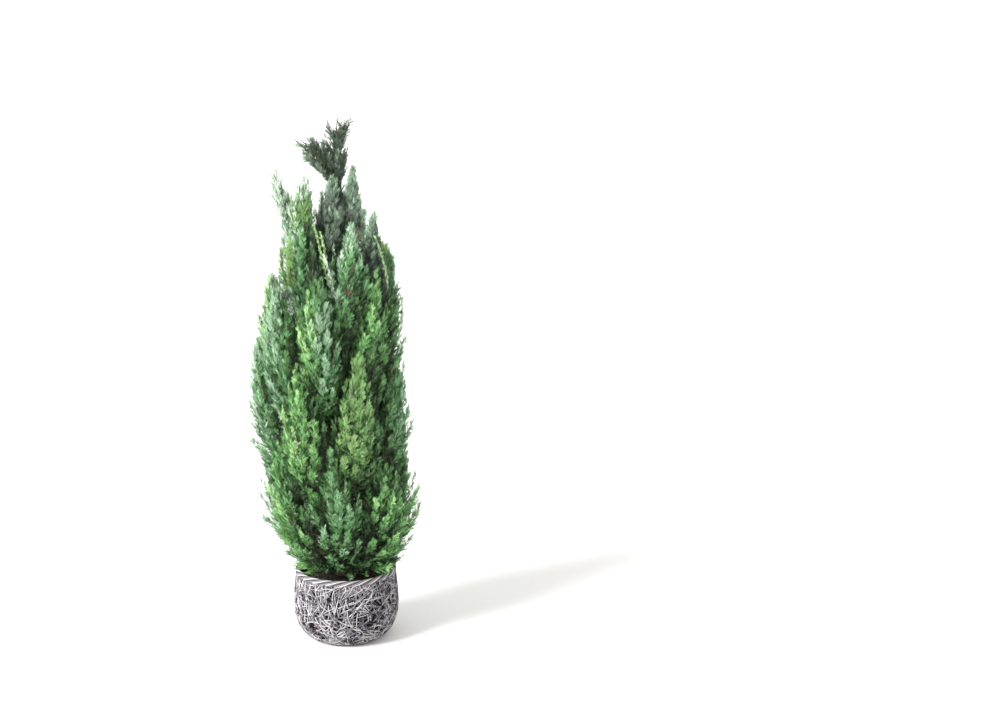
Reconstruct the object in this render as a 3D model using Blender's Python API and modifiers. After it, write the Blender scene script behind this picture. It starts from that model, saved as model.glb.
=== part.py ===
"""Potted lawson cypress: a dense upright column of feathery plumes in a round woven pot.

Metres, +Z up. The origin is the middle of the pot's flat underside. +X is the side
that carries the thinner right flank, -Y is the face with the lit plumes.
"""

import math
import random

import bmesh
import bpy
import numpy as np
from mathutils import Matrix, Vector

# Driving dimensions, in metres unless the name says otherwise
SEED = 41
GAP = 0.0003                 # clear space between two pieces that meet
CLEARANCE_SWELL = 1.15       # a clearance is a little wider, as its sides are flat

POT_HEIGHT = 0.122
POT_FOOT_R = 0.050
POT_BELLY_R = 0.088
POT_BELLY_Z = 0.056
POT_RIM_R = 0.083
POT_WALL = 0.0055
POT_FLOOR = 0.007
FLOOR_CORNER = 0.004         # how far the inside's lowest corner is cut off
RIM_ROLL_R = 0.0048
POT_STEPS = 28
INNER_LEVELS = (0.015, 0.032, 0.060, 0.100)
OUTER_LEVELS = (0.104, 0.080, 0.056, 0.036, 0.019, 0.008, 0.002)
RIM_ROLL_DEG = (200, 145, 90, 35, -25)

SOIL_EDGE_Z = 0.103
SOIL_CROWN_Z = 0.108
SOIL_SHOULDER = 0.0012       # the dome's drop at its shoulder, and its edge's rounding
SOIL_CLEAR = 0.0005

PLANT_TOP = 0.880
TRUNK_TOP = 0.768
TRUNK_R = 0.0105
TRUNK_FLARE_R = 0.0185
TRUNK_FLARE_H = 0.030
TRUNK_TIP_R = 0.0021
TRUNK_LEAN = -0.010          # sideways sweep at mid height, back to upright at the tip
TRUNK_WAVE = 0.004           # the slower sweep to the back and to the front
TRUNK_FOOT_STEPS = (0.0, 0.004, 0.011, 0.021, 0.036)
TRUNK_UPPER_RUN = 0.065
TRUNK_UPPER_COUNT = 14

CROWN_SHIFT = -0.018         # the crown stands this far to the left of the pot
CROWN_SHIFT_Z = (0.14, 0.30)

BOUGH_R = 0.0034
BOUGH_PARTS = 4
BOUGH_DROP = 0.085           # a bough leaves the trunk this far below its plume's foot
BOUGH_STEP = 0.012           # neighbours leave it at heights this far apart
BOUGH_ELBOW = (0.62, 0.42)   # where it bends: shares of its reach and of its drop
STEM_R = 0.0021
STEM_TIP_R = 0.0008
STEM_PARTS = 7
STEM_BARE = 0.03             # share of the axis below the lowest twig
STEM_END = 0.93              # the stem stops this far along its plume's axis
TWIG_R = 0.0011
TWIG_TIP_R = 0.0006
TWIG_RUN = 0.08              # a twig leaves the stem this share of the axis before its spray

SPRAY_WIDTH = 0.56           # of a spray's length
SPRAY_THICKNESS = 0.045      # of a spray's length, at its middle
SPRAY_MIDDLE = 0.42
SPRAY_TEETH = 2              # teeth on each side, counting neither the tip nor the root
SPRAY_ROOT_WIDTH = 0.07
TOOTH_DEPTH = 0.46
TOOTH_RAKE = 0.06
NOTCH_RAKE = 0.10
SPRAY_SUNK = 0.12            # how far a twig runs up into its spray, as a share of it
SPRAY_REACH = 1.15           # a spray's length, as a share of its plume's girth
SPRAY_TAPER = 0.22           # how much shorter the sprays are at the plume's tip
SPRAY_SPRING = 0.50          # where a spray springs from, as a share of the plume's breadth
SPRAY_END = 1.00             # where it ends, as a share of the plume's breadth
SPRAY_ROLL = 0.8             # radians a spray may turn about its own run
SPRAY_TRIES = 6
SPRAY_SHRINK = 0.13          # how much shorter each try is
FIRST_TIP = 0.20             # shares of the axis beside which the sprays end
LAST_TIP = 0.97
LAST_SPRAY_REACH = 1.5       # of the plume's girth
LAST_SPRAY_WIDTH = 0.5       # of another spray's width
SPRAY_SCATTER = (0.88, 1.12)
SPRAY_RISE = 0.85            # how much of its length a spray climbs along the axis
TIP_FREEDOM = 0.006          # how far the last spray may leave the plume's round end

PLUME_BALLS = 15             # sample balls that stand for one plume's space
LEAST_BREADTH = 0.14
FLAME_LIFT = 0.78            # less puts the girth lower down the plume
FLAME_FULLNESS = 0.62        # less keeps it broad for longer
SPIRE_PINCH = 0.34           # how much the plume's end is drawn in to a spire
SPIRE_RUN = (0.72, 0.94)
TUFT_FOOT = 0.28             # breadth of a loose shoot at its foot, as a share of its girth
TUFT_RUN = (0.05, 0.62)      # where along its axis it spreads
CORE_SHARE = 0.66            # the core's breadth, as a share of the plume's
SLIM_CORE_SHARE = 0.26       # the same in the loose head and side shoot
CORE_RUN = (0.04, 0.93)      # shares of the axis that the core may cover
CORE_SAMPLES = 70
CORE_STEP = 0.0008
CORE_LEAST = 0.0010
CORE_ROUNDS = 14             # times that faces are tested against the neighbours
CORE_DRAW = 0.90             # how far a corner is drawn in each time
CORE_RINGS = 6
CORE_SIDES = 6
CORE_CLEAR = 0.0026          # core to the border with a neighbour
SPRAY_CLEAR = 0.0014         # spray to the border with a neighbour
LIMB_CLEAR = 0.0016
CORE_LIMB_CLEAR = 0.0025
AXIS_CLEAR = 0.0035
POT_CLEAR = 0.0025
TRIES = 4                    # times that a mass is grown afresh where its join fails
GOLDEN_ANGLE = math.radians(137.508)

# Rings of plumes, lowest first: height of foot and tip, reach of foot, middle and tip
RINGS = (
    dict(name="base", count=7, first_deg=12, foot_z=0.134, tip_z=0.368, foot_reach=0.0,
         knee_reach=0.106, knee_rise=0.08, tip_reach=0.105, girth=0.056, carrier="trunk",
         sprays=10),
    dict(name="lower", count=7, first_deg=-14, foot_z=0.250, tip_z=0.506, foot_reach=0.042,
         knee_reach=0.096, knee_rise=0.26, tip_reach=0.118, girth=0.053, carrier="bough",
         sprays=9),
    dict(name="middle", count=7, first_deg=10, foot_z=0.372, tip_z=0.646, foot_reach=0.036,
         knee_reach=0.090, knee_rise=0.28, tip_reach=0.096, girth=0.048, carrier="bough",
         sprays=9),
)
# Plumes that stand out of their ring: how far knee and tip are moved
RING_SHIFTS = {
    "middle_4": (-0.010, 0.0, -0.024),
    "middle_5": (-0.002, 0.0, -0.014),
}
RING_JITTER_DEG = 7.0
RING_HEIGHT_JITTER = 0.014

# Plumes of the upper crown, each with its own place: foot, knee, tip, girth, carrier
UPPER_PLUMES = (
    dict(name="shoulder_outer", foot=(-0.036, -0.002, 0.536), knee=(-0.044, -0.010, 0.630),
         tip=(-0.106, -0.010, 0.797), girth=0.026, carrier="bough", sprays=8),
    dict(name="shoulder_inner", foot=(-0.024, -0.034, 0.520), knee=(-0.056, -0.066, 0.610),
         tip=(-0.058, -0.040, 0.784), girth=0.038, carrier="bough", sprays=8),
    dict(name="front_high", foot=(-0.002, -0.036, 0.504), knee=(0.020, -0.082, 0.584),
         tip=(0.024, -0.046, 0.712), girth=0.037, carrier="bough", sprays=8),
    dict(name="flank_high", foot=(0.018, -0.010, 0.506), knee=(0.058, -0.024, 0.592),
         tip=(0.054, -0.024, 0.722), girth=0.035, carrier="bough", sprays=8),
    dict(name="flank_side", foot=(0.014, 0.022, 0.490), knee=(0.068, 0.048, 0.572),
         tip=(0.070, 0.030, 0.664), girth=0.037, carrier="bough", sprays=8),
    dict(name="back_left", foot=(-0.042, 0.022, 0.530), knee=(-0.078, 0.056, 0.620),
         tip=(-0.056, 0.046, 0.768), girth=0.038, carrier="bough", sprays=8),
    dict(name="back_right", foot=(-0.016, 0.036, 0.508), knee=(-0.006, 0.088, 0.600),
         tip=(0.004, 0.062, 0.738), girth=0.040, carrier="bough", sprays=8),
)
NECK_PLUMES = (
    dict(name="neck_right", foot=(0.0, 0.0, 0.600), knee=(0.018, -0.010, 0.680),
         tip=(0.024, -0.006, 0.800), girth=0.022, carrier="trunk", sprays=7),
    dict(name="neck_front", foot=(0.0, 0.0, 0.560), knee=(-0.010, -0.038, 0.650),
         tip=(-0.010, -0.020, 0.776), girth=0.034, carrier="trunk", sprays=7),
    dict(name="neck_back", foot=(0.0, 0.0, 0.580), knee=(-0.014, 0.036, 0.670),
         tip=(-0.008, 0.022, 0.790), girth=0.034, carrier="trunk", sprays=7),
)

# The loose head on the leader's tip, and the side shoot below it
HEAD_KNEE = (-0.004, 0.0, 0.050)
HEAD_TIP = (0.001, 0.0, PLANT_TOP)
HEAD_GIRTH = 0.026
SHOOT_FOOT_Z = 0.757
SHOOT_KNEE = (-0.020, -0.003, 0.806)
SHOOT_TIP = (-0.060, -0.005, 0.842)
SHOOT_GIRTH = 0.018

rng = random.Random(SEED)
SCENE = bpy.context.scene


def clear_scene():
    """Start from an empty file."""
    for thing in list(bpy.data.objects):
        bpy.data.objects.remove(thing, do_unlink=True)


def new_collection(name):
    group = bpy.data.collections.new(name)
    SCENE.collection.children.link(group)
    return group


clear_scene()
PARTS = new_collection("potted_lawson_cypress")
CUTTERS = new_collection("cutters")


# Materials

def principled(name, colour, roughness):
    """One plain surface for one sub-part."""
    material = bpy.data.materials.new(name)
    material.use_nodes = True
    shader = material.node_tree.nodes["Principled BSDF"]
    shader.inputs["Base Color"].default_value = (*colour, 1.0)
    shader.inputs["Roughness"].default_value = roughness
    shader.inputs["Metallic"].default_value = 0.0
    material.diffuse_color = (*colour, 1.0)
    return material


def foliage_material(name, height):
    """Fresh green low down, blue-grey green towards the top."""
    share = max(0.0, min(1.0, (height - 0.30) / 0.45))
    low = Vector((0.10, 0.24, 0.07))
    high = Vector((0.12, 0.17, 0.12))
    return principled(name, tuple(low.lerp(high, share)), 0.75)


# Shared mesh helpers

def add_object(name, mesh, group, material=None, smooth_deg=None):
    thing = bpy.data.objects.new(name, mesh)
    group.objects.link(thing)
    if material is not None:
        mesh.materials.clear()
        mesh.materials.append(material)
    if smooth_deg is not None:
        mesh.shade_smooth()
        mesh.set_sharp_from_angle(angle=math.radians(smooth_deg))
    return thing


def mesh_from(bm, name):
    bmesh.ops.recalc_face_normals(bm, faces=bm.faces)
    mesh = bpy.data.meshes.new(name)
    bm.to_mesh(mesh)
    bm.free()
    return mesh


def evaluated_mesh(thing):
    """The mesh that an object has once its modifiers or its curve are worked out."""
    graph = bpy.context.evaluated_depsgraph_get()
    graph.update()
    return bpy.data.meshes.new_from_object(thing.evaluated_get(graph))


def limb_mesh(name, points, radii, resolution):
    """A tapering limb: a poly curve whose bevel follows each point's radius."""
    curve = bpy.data.curves.new(name, "CURVE")
    curve.dimensions = "3D"
    curve.bevel_depth = 1.0
    curve.bevel_resolution = resolution
    curve.use_fill_caps = True
    spline = curve.splines.new("POLY")
    spline.points.add(len(points) - 1)
    for spot, place, radius in zip(spline.points, points, radii):
        spot.co = (*place, 1.0)
        spot.radius = radius
    holder = bpy.data.objects.new(name, curve)
    SCENE.collection.objects.link(holder)
    mesh = evaluated_mesh(holder)
    bpy.data.objects.remove(holder)
    bm = bmesh.new()
    bm.from_mesh(mesh)
    bpy.data.meshes.remove(mesh)
    bmesh.ops.remove_doubles(bm, verts=bm.verts, dist=0.00001)
    return mesh_from(bm, name)


def blend_curve(foot, knee, tip, share):
    """A point on the arc that leaves foot towards knee and ends at tip."""
    rest = 1.0 - share
    return foot * (rest * rest) + knee * (2.0 * rest * share) + tip * (share * share)


def smooth_step(value, low, high):
    share = max(0.0, min(1.0, (value - low) / (high - low)))
    return share * share * (3.0 - 2.0 * share)


# Pot and soil

def turned(name, profile, steps, group, material):
    """A profile in the XZ plane, spun once round Z with the Screw modifier."""
    mesh = bpy.data.meshes.new(name)
    mesh.from_pydata([(r, 0.0, z) for r, z in profile],
                     [(k, k + 1) for k in range(len(profile) - 1)], [])
    thing = bpy.data.objects.new(name, mesh)
    group.objects.link(thing)
    mesh.materials.append(material)
    screw = thing.modifiers.new("turn", "SCREW")
    screw.steps = steps
    screw.render_steps = steps
    screw.use_merge_vertices = True
    screw.merge_threshold = 0.00001
    screw.use_smooth_shade = True
    return thing


def pot_radius(z):
    """Outer radius of the pot at a height: a round belly that draws in to the rim."""
    if z < POT_BELLY_Z:
        share = 1.0 - z / POT_BELLY_Z
        return POT_FOOT_R + (POT_BELLY_R - POT_FOOT_R) * math.sqrt(max(0.0, 1.0 - share * share))
    share = (z - POT_BELLY_Z) / (POT_HEIGHT - POT_BELLY_Z)
    return POT_BELLY_R + (POT_RIM_R - POT_BELLY_R) * share * share


def pot_inner_radius(z):
    return pot_radius(z) - POT_WALL


def ring_point(centre_r, centre_z, radius, degrees):
    angle = math.radians(degrees)
    return (centre_r + radius * math.cos(angle), centre_z + radius * math.sin(angle))


def make_pot():
    """Closed shell: the inside with its floor, a rolled rim, a round belly and a flat foot."""
    roll_z = POT_HEIGHT - RIM_ROLL_R
    roll_r = POT_RIM_R - POT_WALL * 0.5
    inner = [(0.0, POT_FLOOR), (pot_inner_radius(INNER_LEVELS[0]) - FLOOR_CORNER, POT_FLOOR)]
    inner += [(pot_inner_radius(z), z) for z in INNER_LEVELS]
    rim = [ring_point(roll_r, roll_z, RIM_ROLL_R, a) for a in RIM_ROLL_DEG]
    outer = [(pot_radius(z), z) for z in OUTER_LEVELS]
    foot = [(POT_FOOT_R, 0.0), (0.0, 0.0)]
    return turned("wicker_pot", inner + rim + outer + foot, POT_STEPS, PARTS,
                  principled("woven_strand", (0.42, 0.38, 0.35), 0.7))


def make_soil():
    """The filling, a little domed, clear of the pot all round."""
    edge = pot_inner_radius(INNER_LEVELS[-1]) - SOIL_CLEAR
    profile = [(0.0, SOIL_CROWN_Z), (edge * 0.6, SOIL_CROWN_Z - SOIL_SHOULDER),
               (edge - SOIL_SHOULDER, SOIL_EDGE_Z), (edge, INNER_LEVELS[-1])]
    profile += [(pot_inner_radius(z) - SOIL_CLEAR, z) for z in reversed(INNER_LEVELS[:-1])]
    low_edge = pot_inner_radius(INNER_LEVELS[0]) - FLOOR_CORNER - SOIL_CLEAR
    profile += [(low_edge, POT_FLOOR + GAP), (0.0, POT_FLOOR + GAP)]
    return turned("potting_soil", profile, POT_STEPS, PARTS,
                  principled("moist_soil", (0.035, 0.022, 0.014), 0.95))


# Trunk and boughs

def trunk_share(z):
    return (z - SOIL_CROWN_Z) / (TRUNK_TOP - SOIL_CROWN_Z)


def trunk_centre(z):
    """The leader's gentle sweep: upright at the foot, left at mid height, upright at the tip."""
    share = max(0.0, min(1.0, trunk_share(z)))
    sway = TRUNK_LEAN * math.sin(math.pi * share) ** 2
    return Vector((sway, TRUNK_WAVE * math.sin(2.0 * math.pi * share), z))


def trunk_radius(z):
    taper = TRUNK_R + (TRUNK_TIP_R - TRUNK_R) * max(0.0, trunk_share(z))
    flare = max(0.0, 1.0 - (z - SOIL_CROWN_Z) / TRUNK_FLARE_H)
    return taper + (TRUNK_FLARE_R - TRUNK_R) * flare * flare


LIMBS = []                   # each limb's points and radii, for clearances


def make_limb(name, points, radii, resolution, colour):
    """One limb, and the same limb fattened by the gap as a cutter for what grows round it."""
    LIMBS.append(dict(points=points, radii=radii))
    bark = principled(name + "_bark", colour, 0.85)
    limb = add_object(name, limb_mesh(name, points, radii, resolution), PARTS, bark, 50.0)
    # the swollen twin runs on past both ends by the same gap
    start = points[0] + (points[0] - points[1]).normalized() * GAP
    end = points[-1] + (points[-1] - points[-2]).normalized() * GAP
    swollen = limb_mesh(name + "_clearance", [start] + points[1:-1] + [end],
                        [r + GAP * CLEARANCE_SWELL for r in radii], resolution)
    cutter = add_object(name + "_clearance", swollen, CUTTERS)
    cutter.hide_render = True
    cutter.display_type = "WIRE"
    return limb


def make_trunk():
    """The leader, whole from its flat foot on the soil up through the foliage."""
    foot = SOIL_CROWN_Z + GAP
    levels = [foot + step for step in TRUNK_FOOT_STEPS]
    levels += [float(z) for z in np.linspace(foot + TRUNK_UPPER_RUN, TRUNK_TOP, TRUNK_UPPER_COUNT)]
    points = [trunk_centre(z) for z in levels]
    # the lowest stretch is upright, so the foot is cut level
    points[1].xy = points[0].xy
    make_limb("trunk", points, [trunk_radius(z) for z in levels], 2, (0.16, 0.09, 0.06))


def make_bough(plume):
    """A limb that leaves the trunk, sweeps out and up, and ends where it enters its plume."""
    foot = plume["foot"]
    heading = (plume["knee"] - foot).normalized()
    start = trunk_centre(foot.z - BOUGH_DROP + plume["step"] * BOUGH_STEP)
    away = Vector((foot.x - start.x, foot.y - start.y, 0.0))
    out_share, rise_share = BOUGH_ELBOW
    elbow = start + away * out_share + Vector((0.0, 0.0, BOUGH_DROP * rise_share))
    end = foot - heading * GAP
    shares = [k / BOUGH_PARTS for k in range(BOUGH_PARTS + 1)]
    points = [blend_curve(start, elbow, end, share) for share in shares]
    radii = [BOUGH_R + (STEM_R - BOUGH_R) * share for share in shares]
    bough = make_limb("bough_" + plume["name"], points, radii, 1, (0.20, 0.11, 0.07))
    clear = bough.modifiers.new("clear_of_trunk", "BOOLEAN")
    clear.operation = "DIFFERENCE"
    clear.solver = "EXACT"
    clear.object = CUTTERS.objects["trunk_clearance"]


# The plumes' spaces

def crown_centre(z):
    low, high = CROWN_SHIFT_Z
    return Vector((CROWN_SHIFT * smooth_step(z, low, high), 0.0, 0.0))


def ring_plumes(spec):
    """Plumes at even angles round the trunk, with a little seeded scatter."""
    plumes = []
    for k in range(spec["count"]):
        scatter = rng.uniform(-RING_JITTER_DEG, RING_JITTER_DEG)
        azimuth = math.radians(spec["first_deg"] + 360.0 / spec["count"] * k + scatter)
        out = Vector((math.cos(azimuth), math.sin(azimuth), 0.0))
        lift = rng.uniform(-RING_HEIGHT_JITTER, RING_HEIGHT_JITTER)
        foot_z = spec["foot_z"] + lift
        tip_z = spec["tip_z"] + lift
        if spec["carrier"] == "trunk":
            foot = trunk_centre(foot_z)
        else:
            foot = crown_centre(foot_z) + out * spec["foot_reach"] + Vector((0.0, 0.0, foot_z))
        knee_z = foot_z + (tip_z - foot_z) * spec["knee_rise"]
        knee = crown_centre(knee_z) + out * spec["knee_reach"] + Vector((0.0, 0.0, knee_z))
        tip = crown_centre(tip_z) + out * spec["tip_reach"] + Vector((0.0, 0.0, tip_z))
        name = f"{spec['name']}_{k + 1}"
        shift = Vector(RING_SHIFTS.get(name, (0.0, 0.0, 0.0)))
        plumes.append(dict(name=name, foot=foot, knee=knee + shift, tip=tip + shift,
                           girth=spec["girth"], carrier=spec["carrier"], sprays=spec["sprays"],
                           dense=True, step=k % 3 - 1))
    return plumes


def placed_plumes(specs):
    """Plumes of the upper crown, whose places are given one by one."""
    plumes = []
    for spec in specs:
        plume = dict(spec, dense=True, step=0)
        for key in ("foot", "knee", "tip"):
            plume[key] = Vector(spec[key])
        if spec["carrier"] == "trunk":
            plume["foot"] = trunk_centre(plume["foot"].z)
        plumes.append(plume)
    return plumes


def top_plumes():
    """The loose forked head on the leader's tip, and the side shoot that leans left below it."""
    tip = trunk_centre(TRUNK_TOP)
    head = dict(name="head", foot=tip, knee=tip + Vector(HEAD_KNEE), tip=Vector(HEAD_TIP),
                girth=HEAD_GIRTH, carrier="trunk", sprays=10, dense=False, step=0)
    start = trunk_centre(SHOOT_FOOT_Z)
    shoot = dict(name="side_shoot", foot=start, knee=Vector(SHOOT_KNEE), tip=Vector(SHOOT_TIP),
                 girth=SHOOT_GIRTH, carrier="trunk", sprays=8, dense=False, step=0)
    return [head, shoot]


def flame(share):
    """A plume's breadth along its axis: quick to full girth, slow to a point."""
    share = max(0.0, min(1.0, share))
    body = math.sin(math.pi * share ** FLAME_LIFT) ** FLAME_FULLNESS
    return max(LEAST_BREADTH, body * (1.0 - SPIRE_PINCH * smooth_step(share, *SPIRE_RUN)))


def loose_tuft(share):
    """An open shoot's breadth: narrow at its foot and broad near its forked end."""
    return TUFT_FOOT + (1.0 - TUFT_FOOT) * smooth_step(share, *TUFT_RUN)


def plume_radius(plume, share):
    shape = flame if plume["dense"] else loose_tuft
    return plume["girth"] * shape(share)


def axis_point(plume, share):
    return blend_curve(plume["foot"], plume["knee"], plume["tip"], share)


def axis_heading(plume, share):
    step = 0.01
    ahead = axis_point(plume, min(1.0, share + step))
    behind = axis_point(plume, max(0.0, share - step))
    return (ahead - behind).normalized()


class Spaces:
    """Who owns a place in the crown: each plume is a row of balls, and borders lie half way."""

    def __init__(self, plumes):
        shares = [(k + 0.5) / PLUME_BALLS for k in range(PLUME_BALLS)]
        self.centres = np.array([[tuple(axis_point(p, s)) for s in shares] for p in plumes])
        self.radii = np.array([[self.ball_radius(p, s) for s in shares] for p in plumes])
        runs = []
        for limb in LIMBS:
            lengths = zip(limb["points"], limb["points"][1:], limb["radii"], limb["radii"][1:])
            runs += [(a, b, max(r, s), -1) for a, b, r, s in lengths]
        for row, plume in enumerate(plumes):
            stem = [axis_point(plume, k / STEM_PARTS) for k in range(STEM_PARTS + 1)]
            runs += [(a, b, STEM_R, row) for a, b in zip(stem, stem[1:])]
        self.limb_starts = np.array([tuple(run[0]) for run in runs])
        self.limb_runs = np.array([tuple(run[1]) for run in runs]) - self.limb_starts
        self.limb_sizes = np.array([run[2] for run in runs])
        self.limb_owners = np.array([run[3] for run in runs])

    def ball_radius(self, plume, share):
        """The plume's breadth, but no ball of a dense plume reaches past the plume's tip."""
        breadth = plume_radius(plume, share)
        left = (1.0 - share) * (plume["tip"] - plume["foot"]).length
        return min(breadth, max(left, LEAST_BREADTH * plume["girth"])) if plume["dense"] else breadth

    def depths(self, places):
        """Distance from each place to each plume's surface, negative inside."""
        far = np.linalg.norm(places[:, None, None, :] - self.centres[None], axis=3)
        return (far - self.radii[None]).min(axis=2)

    def limb_distance(self, places, index):
        """Distance to the nearest limb, or stem of another plume."""
        across = places[:, None, :] - self.limb_starts[None]
        length = (self.limb_runs ** 2).sum(axis=1)
        share = np.clip((across * self.limb_runs[None]).sum(axis=2) / length[None], 0.0, 1.0)
        nearest = across - share[:, :, None] * self.limb_runs[None]
        far = np.linalg.norm(nearest, axis=2) - self.limb_sizes[None]
        return far[:, self.limb_owners != index].min(axis=1)

    def pot_distance(self, places):
        out = np.hypot(places[:, 0], places[:, 1]) - POT_BELLY_R
        up = places[:, 2] - POT_HEIGHT
        outside = np.hypot(np.maximum(out, 0.0), np.maximum(up, 0.0))
        return np.where((out < 0.0) & (up < 0.0), np.maximum(out, up), outside)

    def owned(self, places, index, border, inset, limb_gap):
        """True where a place lies in one plume's space, clear of all that is near."""
        depths = self.depths(places)
        own = depths[:, index].copy()
        depths[:, index] = np.inf
        fits = (own <= -inset) & (depths.min(axis=1) - own >= 2.0 * border)
        fits &= self.limb_distance(places, index) >= limb_gap
        fits &= self.pot_distance(places) >= POT_CLEAR
        fits &= places[:, 2] <= PLANT_TOP + GAP
        return fits


# What a plume is made of

def longest_run(flags):
    """First and last place of the longest unbroken run of true flags."""
    best = (0, 0)
    begin = None
    for k, good in enumerate(list(flags) + [False]):
        if good and begin is None:
            begin = k
        if not good and begin is not None:
            if k - begin > best[1] - best[0]:
                best = (begin, k)
            begin = None
    return best[0], best[1] - 1


def plume_core(plume, index, spaces):
    """The dense heart: a ball pulled out along the axis until it meets the space's border."""
    shares = np.linspace(*CORE_RUN, CORE_SAMPLES)
    middle = np.array([tuple(axis_point(plume, share)) for share in shares])
    first, last = longest_run(spaces.owned(middle, index, AXIS_CLEAR, AXIS_CLEAR, AXIS_CLEAR))
    low, high = shares[first], shares[last]
    thickness = CORE_SHARE if plume["dense"] else SLIM_CORE_SHARE
    reaches = np.arange(CORE_STEP, plume["girth"], CORE_STEP)
    bm = bmesh.new()
    bmesh.ops.create_uvsphere(bm, u_segments=CORE_SIDES, v_segments=CORE_RINGS, radius=1.0)
    rays = {}
    for vert in bm.verts:
        share = low + (high - low) * (vert.co.z + 1.0) / 2.0
        base = axis_point(plume, share)
        if abs(vert.co.xy.length) < CORE_STEP:
            vert.co = base
            continue
        outward = side_of(plume, share, math.atan2(vert.co.y, vert.co.x))
        line = np.array([tuple(base + outward * reach) for reach in reaches])
        good = spaces.owned(line, index, CORE_CLEAR, 0.0, CORE_LIMB_CLEAR)
        inset = plume_radius(plume, share) * (1.0 - thickness)
        good &= spaces.depths(line)[:, index] <= -inset
        stop = len(reaches) if good.all() else int(np.argmin(good))
        rays[vert] = (base, outward)
        vert.co = base + outward * max(CORE_LEAST, reaches[max(stop - 1, 0)])
    draw_in(bm, rays, index, spaces)
    return mesh_from(bm, "core")


def draw_in(bm, rays, index, spaces):
    """Pull in the corners of each face whose middle parts leave the plume's own space."""
    for _ in range(CORE_ROUNDS):
        crossing = set()
        for face in bm.faces:
            corners = [vert.co for vert in face.verts]
            middle = face.calc_center_median()
            places = [middle] + [middle.lerp(c, 0.5) for c in corners]
            places += [a.lerp(b, t) for a, b in zip(corners, corners[1:] + corners[:1])
                       for t in (0.25, 0.5, 0.75)]
            places = np.array([tuple(place) for place in places])
            if not spaces.owned(places, index, SPRAY_CLEAR, 0.0, LIMB_CLEAR).all():
                crossing.update(face.verts)
        for vert in crossing:
            if vert in rays:
                base, outward = rays[vert]
                reach = (vert.co - base).length * CORE_DRAW
                vert.co = base + outward * max(CORE_LEAST, reach)
        if not crossing:
            break


def spray_mesh(length, width):
    """A toothed blade: a two-ring ball pressed flat, every other edge point pulled in."""
    bm = bmesh.new()
    points = 4 * SPRAY_TEETH + 1
    bmesh.ops.create_uvsphere(bm, u_segments=points, v_segments=2, radius=1.0)
    half = length * SPRAY_THICKNESS / 2.0
    for vert in bm.verts:
        if abs(vert.co.z) > 0.5:
            vert.co = Vector((length * SPRAY_MIDDLE, 0.0, math.copysign(half, vert.co.z)))
            continue
        # one ring point of the ball lies on +Y: it becomes the blade's tip
        angle = math.atan2(vert.co.x, vert.co.y)
        place = round(abs(angle) / (2.0 * math.pi / points))
        along = (1.0 + math.cos(angle)) / 2.0
        across = math.sin(angle) * width / 2.0
        if place == 0:
            vert.co = Vector((length, 0.0, 0.0))
        elif place == 2 * SPRAY_TEETH:
            vert.co = Vector((0.0, math.copysign(width * SPRAY_ROOT_WIDTH, angle), 0.0))
        elif place % 2 == 1:
            vert.co = Vector((length * (along - NOTCH_RAKE), across * TOOTH_DEPTH, 0.0))
        else:
            vert.co = Vector((length * (along + TOOTH_RAKE), across, 0.0))
    return mesh_from(bm, "spray")


def twig_mesh(start, end):
    """A three-sided twig from one point to another."""
    run = end - start
    bm = bmesh.new()
    bmesh.ops.create_cone(bm, cap_ends=True, cap_tris=True, segments=3, radius1=TWIG_R,
                          radius2=TWIG_TIP_R, depth=run.length)
    turn = run.to_track_quat("Z", "Y").to_matrix().to_4x4()
    bm.transform(Matrix.Translation((start + end) * 0.5) @ turn)
    return mesh_from(bm, "twig")


def side_of(plume, share, angle):
    """The direction square to the axis that lies at an angle round it."""
    turn = Vector((0.0, 0.0, 1.0)).rotation_difference(axis_heading(plume, share))
    return turn @ Vector((math.cos(angle), math.sin(angle), 0.0))


def blade_frame(place, heading, outward, roll):
    """A blade's matrix: X along its run, the flat side facing outward, then turned by roll."""
    flat = (outward - heading * outward.dot(heading)).normalized()
    across = flat.cross(heading)
    turn = Matrix((heading, across, flat)).transposed().to_4x4()
    return Matrix.Translation(place) @ turn @ Matrix.Rotation(roll, 4, "X")


def samples_of(mesh):
    """Corners, edge points and face middles of a mesh, for testing where it lies."""
    corners = [v.co.copy() for v in mesh.vertices]
    places = list(corners)
    for edge in mesh.edges:
        a, b = (corners[k] for k in edge.vertices)
        places += [a.lerp(b, 0.25), a.lerp(b, 0.5), a.lerp(b, 0.75)]
    for face in mesh.polygons:
        places.append(face.center.copy())
        places += [face.center.lerp(corners[k], 0.5) for k in face.vertices]
    return np.array([tuple(p) for p in places])


def spray_line(plume, tip_share, angle, size):
    """Root and tip of a spray whose tip lies just inside the plume's surface."""
    length = (plume["tip"] - plume["foot"]).length
    root_share = max(STEM_BARE, tip_share - size * SPRAY_RISE / length)
    end = side_of(plume, tip_share, angle) * plume_radius(plume, tip_share) * SPRAY_END
    spring = side_of(plume, root_share, angle) * plume_radius(plume, root_share) * SPRAY_SPRING
    return axis_point(plume, root_share) + spring, axis_point(plume, tip_share) + end, root_share


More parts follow.
